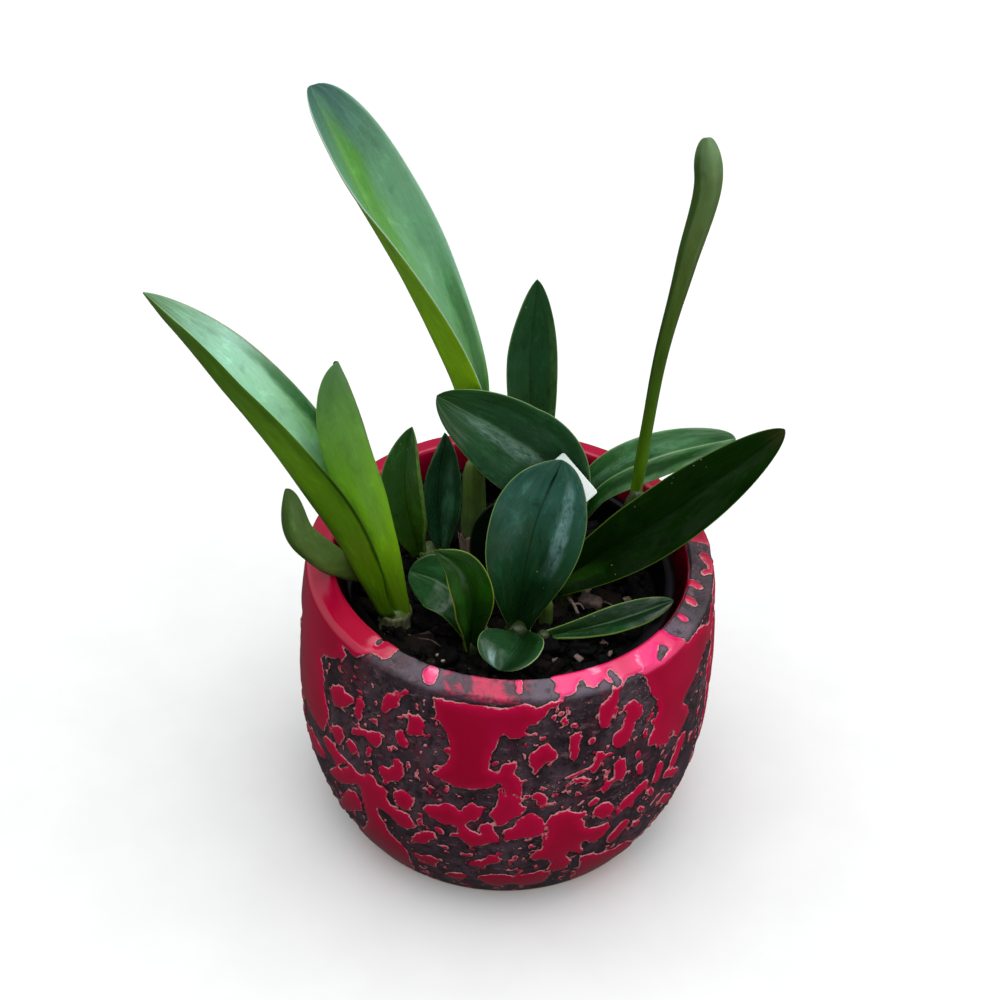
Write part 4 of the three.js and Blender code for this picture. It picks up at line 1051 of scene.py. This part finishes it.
def stem_body(stem):
    """The furrowed green body of a cane."""
    rings = []
    for along in np.linspace(0, 1, CANE_ROWS):
        swing = stem.waver([[along * 2, stem.seed, 0]])[0]
        furrow = 0.035 * np.cos(9 * stem.turn + 2 * swing)
        distance = stem.fat(along) * (1 + furrow + 0.03 * stem.waver(stem.circle(1.2, along * 4)))
        rings.append(stem.start + stem.axis * along * stem.length + distance[:, None] * stem.spokes)
    points = np.vstack(rings + [[stem.start, stem.start + stem.axis * stem.length]])
    heights = np.repeat(np.linspace(0, 1, CANE_ROWS), CANE_SIDES)
    return points, fanned_faces(CANE_ROWS, CANE_SIDES, flip=True), np.append(heights, [0, 1])


def dry_sheath(stem, sheath, ragged):
    """The thin papery sleeve round a cane, up its outside and down its inside, open at its top."""
    rings, values = [], []
    torn = stem.waver(stem.circle(2, 9.0))
    reach = sheath * (1 + ragged * (0.16 * torn + 0.10 * np.cos(stem.turn - stem.seed)))
    shares = [step / (SHEATH_ROWS - 1) for step in range(SHEATH_ROWS)]
    for gap, run in ((0.16, shares), (-0.16, shares[::-1])):
        for share in run:
            place = share * reach
            away = stem.fat(place) * 1.04 + 0.25
            wrinkle = stem.waver(stem.circle(3, place * 3))
            away = away + 0.3 * wrinkle + 0.9 * smooth(0.75, 1.1, share) * (0.6 + 0.5 * torn)
            away = away + gap
            centre = stem.start + stem.axis[None, :] * (place * stem.length)[:, None]
            rings.append(centre + away[:, None] * stem.spokes)
            values.append(place)
    faces = grid_faces(2 * SHEATH_ROWS, CANE_SIDES, around=True, flip=True)
    inside = (2 * SHEATH_ROWS - 1) * CANE_SIDES
    for one in range(CANE_SIDES):
        beside = (one + 1) % CANE_SIDES
        faces.append([one, beside, inside + beside, inside + one])
    return np.vstack(rings), faces, np.concatenate(values)


def cane(name, foot, top, radius, sheath, ragged, kind, seed):
    stem = Stem(foot, top, radius, seed)
    made = Builder()
    for dry, (points, faces, along) in enumerate((stem_body(stem), dry_sheath(stem, sheath, ragged))):
        made.add(points, faces, dry=dry, along=along)
    thing = made.object(name + "_stem")
    thing.data.materials.append(cane_material(name, kind))
    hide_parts(name)


def cane_material(name, kind):
    skins = {"green": ((82, 88, 56), (122, 124, 88)), "dry": ((66, 58, 44), (112, 100, 80)),
             "dark": ((26, 24, 18), (58, 52, 40)), "tan": ((96, 76, 70), (140, 118, 106)),
             "fresh": ((96, 116, 30), (130, 148, 50))}
    n = paint(name + "_skin")
    where = n.place()
    dry, along = n.value("dry"), n.value("along")
    fibre = n.noise(where, 900, 3, 0.6, stretch=(1, 1, 0.08))
    cloud = n.noise(where, 120, 3)
    fresh = shades((88, 104, 46), (84, 108, 48), (70, 98, 44), (92, 122, 40))
    old = shades((40, 46, 24), (44, 54, 26), (40, 54, 24), (52, 70, 28))
    green = n.ramp(along, old if kind == "dark" else fresh)
    green = n.lay(green, (60, 70, 44), cloud, 0.4, 0.7, 0.4)
    papery = n.mix(n.range(fibre, 0.35, 0.65), *skins[kind])
    papery = n.lay(papery, (70, 56, 44), cloud, 0.5, 0.75, 0.5)
    colour = n.mix(n.range(dry, 0.4, 0.6), green, papery)
    rough = n.range(dry, 0, 1, 0.38, 0.7, False)
    return n.finish(Base_Color=colour, Roughness=rough, Normal=n.bump(fibre, 0.4, 0.0004))


# Bark mix

def soil_surface(x, y):
    ripple = np.sin(x / 9 + 1.3) * np.cos(y / 8 - 0.6) + 0.5 * np.sin((x - y) / 5)
    return SOIL_HEIGHT + 1.5 * ripple


def chunk(size, rounding, noise, at, turn, rough):
    """A broken lump: a rounded box whose faces are split and knocked about."""
    steps = 4
    line = np.linspace(-1, 1, steps)
    points, faces, known = [], [], {}

    def index(spot):
        key = tuple(np.round(spot, 5))
        if key not in known:
            known[key] = len(points)
            points.append(spot)
        return known[key]

    for axis in range(3):
        for end in (-1, 1):
            for i in range(steps - 1):
                for j in range(steps - 1):
                    quad = []
                    for u, v in ((i, j), (i + 1, j), (i + 1, j + 1), (i, j + 1)):
                        spot = [0, 0, 0]
                        spot[axis], spot[(axis + 1) % 3], spot[(axis + 2) % 3] = end, line[u], line[v]
                        quad.append(index(spot))
                    faces.append(quad if end > 0 else quad[::-1])
    points = np.array(points, float)
    ball = points / np.linalg.norm(points, axis=1, keepdims=True) * 1.25
    points = points * (1 - rounding) + ball * rounding
    points = points * (1 + rough * noise(points * 1.3 + at)[:, None])
    points = points * np.asarray(size) / 2
    return points @ turn.T + at, faces


def rotation(random, tilt):
    return np.array(Matrix.Rotation(random.uniform(0, 2 * math.pi), 3, "Z") @ Matrix.Rotation(
        random.normal(0, tilt), 3, "X") @ Matrix.Rotation(random.normal(0, tilt), 3, "Y"))


# Larger scraps that the photo shows on the mix: place, size, turn in degrees and how pale they are
SCRAPS = [
    ((21, 2.6, 98.2), (9, 3.6, 2.2), 12, 0.8), ((26.6, 2.2, 98.6), (8, 3.2, 1.8), -22, 0.9),
    ((30.5, -4.4, 97.6), (8.5, 5.2, 4), -25, 0.35), ((35.4, -25.6, 97.2), (3.6, 1.8, 1.2), -35, 0.75),
    ((26.5, -34.2, 97), (3.2, 2, 1.2), -45, 0.6), ((44.4, -1.6, 97.4), (2.8, 1.8, 1.2), 30, 0.7),
    ((-27.4, -34.3, 97), (1.4, 1.1, 0.8), 10, 1), ((-24.7, -36.7, 97), (1.2, 0.8, 0.7), 60, 1),
    ((-22.4, -39.6, 97), (1.3, 1, 0.8), 20, 1), ((38, -31, 97), (2.6, 1.4, 1), 70, 0.45),
    ((6, -33, 97), (4, 2.4, 1.6), 15, 0.3), ((-30, -28, 97.2), (5, 3, 2), 40, 0.25),
    ((18, -36, 97), (2.4, 1.4, 1), 25, 0.5), ((31, -14, 97.2), (4.2, 2.6, 2), 65, 0.28),
]

# Roots and papery fibres lying on the mix: their points, radius and how pale they are
STRANDS = [
    ([(21.5, -1.5, 97), (22.3, -4, 98.6), (24.2, -7.7, 99), (26.1, -11.9, 97.8),
      (26.6, -13.5, 95.5)], 0.75, 0.62),
    ([(24.2, -7.7, 98.8), (26.6, -7.4, 99), (28.4, -8.6, 97.4)], 0.5, 0.5),
    ([(-12.5, -21.5, 97.5), (-10.6, -22.4, 99), (-7.5, -24.3, 99.6), (-4.1, -27.7, 97.6)], 0.5, 0.9),
    ([(-12, -24.5, 98), (-9.5, -24.8, 99.4), (-6.6, -27.4, 98.8), (-5.6, -30, 97)], 0.4, 1),
    ([(-8.6, -21.4, 98), (-7.2, -23.6, 99.8), (-6.8, -27, 99.2)], 0.35, 0.95),
    ([(-36, -27, 97), (-32, -29.6, 98), (-27, -30.4, 98), (-23, -33, 97)], 0.4, 0.3),
    ([(34, -3, 97), (38, -6, 98.4), (41, -11, 98.2), (42, -16, 97)], 0.45, 0.3),
]
STRAND_SIDES = 8
STRAND_ROWS = 18


def strand(path, radius, noise):
    """A thin bent root: rings of points round a smooth curve, and its faces."""
    turn = np.linspace(0, 2 * np.pi, STRAND_SIDES, endpoint=False)
    rings = []
    for share in np.linspace(0, 1, STRAND_ROWS):
        centre = spine_point(path, share)
        along = spine_point(path, share + 0.01) - spine_point(path, share - 0.01)
        along /= np.linalg.norm(along)
        side = np.cross(along, [0, 0, 1])
        side /= np.linalg.norm(side)
        thick = radius * (1 + 0.3 * noise(centre)[0]) * (1 - 0.4 * share)
        around = np.cos(turn)[:, None] * side + np.sin(turn)[:, None] * np.cross(along, side)
        rings.append(centre + thick * around)
    return np.vstack(rings), capped_faces(STRAND_ROWS, STRAND_SIDES, flip=True)


# Chips strewn over the mix: how many, the shortest and longest, how flat and how high they lie
CHIPS = ((330, 3.5, 8, 0.5, 0.2), (50, 8, 12, 0.4, 0.9), (620, 1.2, 3.5, 0.6, 0.9))
MIX_SIDES = 120
MIX_RINGS = 46


def mix_body(noise, edge):
    """The filling of the grower's pot, with a crumbly top."""
    foot = LINER_FOOT_RADIUS - 1.3
    rows = [(r, SOIL_HEIGHT) for r in np.linspace(edge, 1, MIX_RINGS)]
    profile = [(0.5, LINER_FOOT + 2.7), (foot, LINER_FOOT + 2.7)] + rows
    points = lathe_points(profile, MIX_SIDES)
    top = np.repeat(np.arange(len(profile)) >= 2, MIX_SIDES)
    crumbs = 1.5 * noise.layered(points / 5) + 0.8 * noise(points / 1.6)
    height = soil_surface(points[:, 0], points[:, 1]) - 0.8 + crumbs
    points[:, 2] = np.where(top, height, points[:, 2])
    return points, capped_faces(len(profile), MIX_SIDES)


def strew_chips(made, random, noise, reach):
    for count, low, high, flat, lift in CHIPS:
        for _ in range(count):
            away, around = reach * math.sqrt(random.uniform()), random.uniform(0, 2 * math.pi)
            x, y = away * math.cos(around), away * math.sin(around)
            length = random.uniform(low, high)
            size = (length, length * random.uniform(0.45, 0.85), length * flat * random.uniform(0.6, 1.2))
            at = np.array([x, y, soil_surface(x, y) + lift * random.uniform(0, 1.6)])
            lump = chunk(size, random.uniform(0.15, 0.55), noise, at, rotation(random, 0.35), 0.22)
            made.add(*lump, tint=random.uniform(0.05, 1) ** 3, pale=0.0)


def bark_material():
    n = paint("dark_bark")
    where = n.place()
    grain = n.noise(where, 420, 5, 0.7, stretch=(1, 1, 0.6))
    colour = n.ramp(n.value("tint"), shades((5, 4, 5), (11, 9, 8), (24, 18, 15), (56, 44, 36)))
    colour = n.mix(n.range(grain, 0.35, 0.7, 0.65, 0), colour, (5, 4, 4))
    dry = n.ramp(grain, shades((60, 46, 42), (120, 94, 88), (196, 172, 160), (220, 204, 192)))
    colour = n.mix(n.value("pale"), colour, dry)
    flecks = n.range(n.cells(where, 700), 0.14, 0.08)
    flecks = n.times(flecks, n.range(n.noise(where, 90, 2), 0.55, 0.62))
    colour = n.mix(n.times(flecks, 0.5), colour, (180, 170, 150))
    return n.finish(shine=0.12, Base_Color=colour, Roughness=n.range(grain, 0.3, 0.7, 0.55, 0.95),
                    Normal=n.bump(grain, 0.8, 0.0012))


def bark_mix():
    random = np.random.default_rng(21)
    noise = Noise(22)
    edge = liner_radius(SOIL_HEIGHT - LINER_FOOT) - 1.5
    made = Builder()
    made.add(*mix_body(noise, edge), tint=0.1, pale=0.0)
    strew_chips(made, random, noise, edge - 4)
    for at, size, turn, pale in SCRAPS:
        lying = np.array(Matrix.Rotation(math.radians(turn), 3, "Z"))
        made.add(*chunk(size, 0.4, noise, np.array(at), lying, 0.3), tint=0.6, pale=pale)
    for path, radius, pale in STRANDS:
        made.add(*strand(path, radius, noise), tint=0.6, pale=pale)
    thing = made.object("bark_mix_chips")
    thing.data.materials.append(bark_material())
    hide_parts("bark_mix")


# Plant label

LABEL = dict(width=34, height=19, thickness=0.8, stake=5, stake_foot=84, stake_shift=-3.2,
             centre=[11.2, -3.8, 143.9], across=[0.72, 0.448, 0.53], up=[-0.681, 0.464, 0.566])
LABEL_CORNER = 1.0


def plate(outline, centre, across, up):
    """A thin plate with slightly rounded edges, from an outline and the plane it lies in."""
    out = np.cross(across, up)
    half = LABEL["thickness"] / 2
    points = []
    for inset, level in ((0.25, -half), (0, -half / 2), (0, half / 2), (0.25, half)):
        for x, y in outline:
            x, y = x - math.copysign(inset, x), y - math.copysign(inset, y)
            points.append(centre + across * x + up * y + out * level)
    return points, capped_faces(4, len(outline))


def rounded_box(width, height, size):
    """Outline of a rectangle about the origin with rounded corners."""
    outline = []
    for right, up, first in ((1, 1, 0), (-1, 1, 90), (-1, -1, 180), (1, -1, 270)):
        for step in range(6):
            angle = math.radians(first + 18 * step)
            outline.append((right * (width / 2 - size) + size * math.cos(angle),
                            up * (height / 2 - size) + size * math.sin(angle)))
    return outline


def label_plastic():
    n = paint("white_label_plastic")
    where = n.place()
    cloud = n.noise(where, 70, 3)
    colour = n.lay((250, 255, 253), (232, 248, 240), cloud, 0.35, 0.7)
    scuff = n.noise(where, 600, 4, 0.7, stretch=(1, 0.1, 0.3))
    colour = n.lay(colour, (170, 180, 170), scuff, 0.62, 0.75, 0.25)
    rough = n.range(cloud, 0.3, 0.7, 0.32, 0.45)
    return n.finish(Base_Color=colour, Roughness=rough, Normal=n.bump(scuff, 0.08, 0.0003))


def plant_label():
    across = np.array(LABEL["across"]) / np.linalg.norm(LABEL["across"])
    up = np.array(LABEL["up"])
    up = up - across * up.dot(across)
    up /= np.linalg.norm(up)
    x, y, top = LABEL["centre"]
    made = Builder()
    card = rounded_box(LABEL["width"], LABEL["height"], LABEL_CORNER)
    made.add(*plate(card, np.array([x, y, top]), across, up))
    rise = top - LABEL["stake_foot"]
    middle = np.array([x + LABEL["stake_shift"], y, top - rise / 2])
    stake = rounded_box(LABEL["stake"], rise, LABEL_CORNER)
    made.add(*plate(stake, middle, np.array([1.0, 0, 0]), np.array([0, 0, 1.0])))
    thing = made.object("plant_label_card")
    for polygon in thing.data.polygons:
        polygon.use_smooth = False
    thing.data.materials.append(label_plastic())
    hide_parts("plant_label")


# Studio

# Brightness of the surroundings by height, from below the horizon to straight above, and of a
# wide low window on either side
SKY = ((-0.1, 0.06), (0.05, 0.1), (0.35, 0.19), (0.65, 0.6), (0.85, 1.35), (1.0, 2.5))
WINDOWS = {"right": 0.95, "left": 0.6}
FLOOR_REACH = 40000

# The photo's camera: its place in metres, and which ways its right, its top and its back point
CAMERA_PLACE = (0, -0.5568, 0.6039)
CAMERA_RIGHT = (0.99846, 0.04060, 0.03793)
CAMERA_UP = (-0.05512, 0.63804, 0.76803)
CAMERA_BACK = (0.00698, -0.76893, 0.63929)
LENS = 72
SENSOR = 36

# Where each lamp shines from, its strength, how wide it is and whether it shows in shiny surfaces
LAMPS = {
    "lamp_high": ((0.2, 0.25, 1.2), 0.2, 0.9, True),
    "lamp_front": ((0.55, -1.0, -0.1), 0.55, 0.9, False),
}


def sky():
    world = bpy.data.worlds.new("studio")
    n = Nodes(world)
    parts = n.node("ShaderNodeSeparateXYZ")
    n.put(parts.inputs[0], n.node("ShaderNodeTexCoord").outputs["Generated"])
    brightest = max(light for _, light in SKY)
    stops = [((height + 1) / 2, [light / brightest * tone for tone in (0.985, 0.995, 1)] + [1])
             for height, light in SKY]
    above = n.ramp(n.range(parts.outputs["Z"], -1, 1, 0, 1, False), stops)
    height = parts.outputs["Z"]
    low = n.times(n.range(height, -0.3, 0.0), n.range(height, 0.75, 0.45))
    for side, sign in (("right", 1), ("left", -1)):
        window = n.times(n.range(parts.outputs["X"], 0.35 * sign, 0.9 * sign), low)
        above = n.add(above, n.times(window, WINDOWS[side] / brightest))
    background = n.tree.nodes["Background"]
    n.put(background.inputs["Color"], above)
    background.inputs["Strength"].default_value = brightest
    return world


def studio():
    scene = bpy.context.scene
    floor = mesh_object("floor", [[x * FLOOR_REACH, y * FLOOR_REACH, 0] for x, y in (
        (-1, -1), (1, -1), (1, 1), (-1, 1))], [[0, 1, 2, 3]])
    n = paint("pale_floor")
    paper = n.noise(n.place(), 30, 3)
    colour = n.lay((246, 247, 247), (243, 244, 244), paper, 0.3, 0.7)
    floor.data.materials.append(n.finish(shine=0.0, Base_Color=colour, Roughness=0.85))
    floor.visible_glossy = False
    floor.visible_diffuse = False
    floor.visible_shadow = False
    scene.world = sky()

    for name, (away, strength, width, shows) in LAMPS.items():
        light = bpy.data.lights.new(name, "SUN")
        light.energy = strength
        light.angle = width
        lamp = bpy.data.objects.new(name, light)
        lamp.rotation_mode = "QUATERNION"
        lamp.rotation_quaternion = (-Vector(away)).to_track_quat("-Z", "Y")
        lamp.visible_glossy = shows
        scene.collection.objects.link(lamp)

    camera = bpy.data.objects.new("camera", bpy.data.cameras.new("camera"))
    camera.data.lens = LENS
    camera.data.sensor_width = SENSOR
    turn = Matrix((CAMERA_RIGHT, CAMERA_UP, CAMERA_BACK)).transposed()
    camera.matrix_world = Matrix.Translation(CAMERA_PLACE) @ turn.to_4x4()
    camera.data.clip_start = 0.01
    scene.collection.objects.link(camera)
    scene.camera = camera
    scene.view_settings.view_transform = "Standard"
    scene.view_settings.look = "None"


ceramic_pot()
growers_pot()
bark_mix()
for number, (stem, facts) in enumerate(CANES.items(), 200):
    cane(stem, *facts, number)
leaves()
plant_label()
studio()
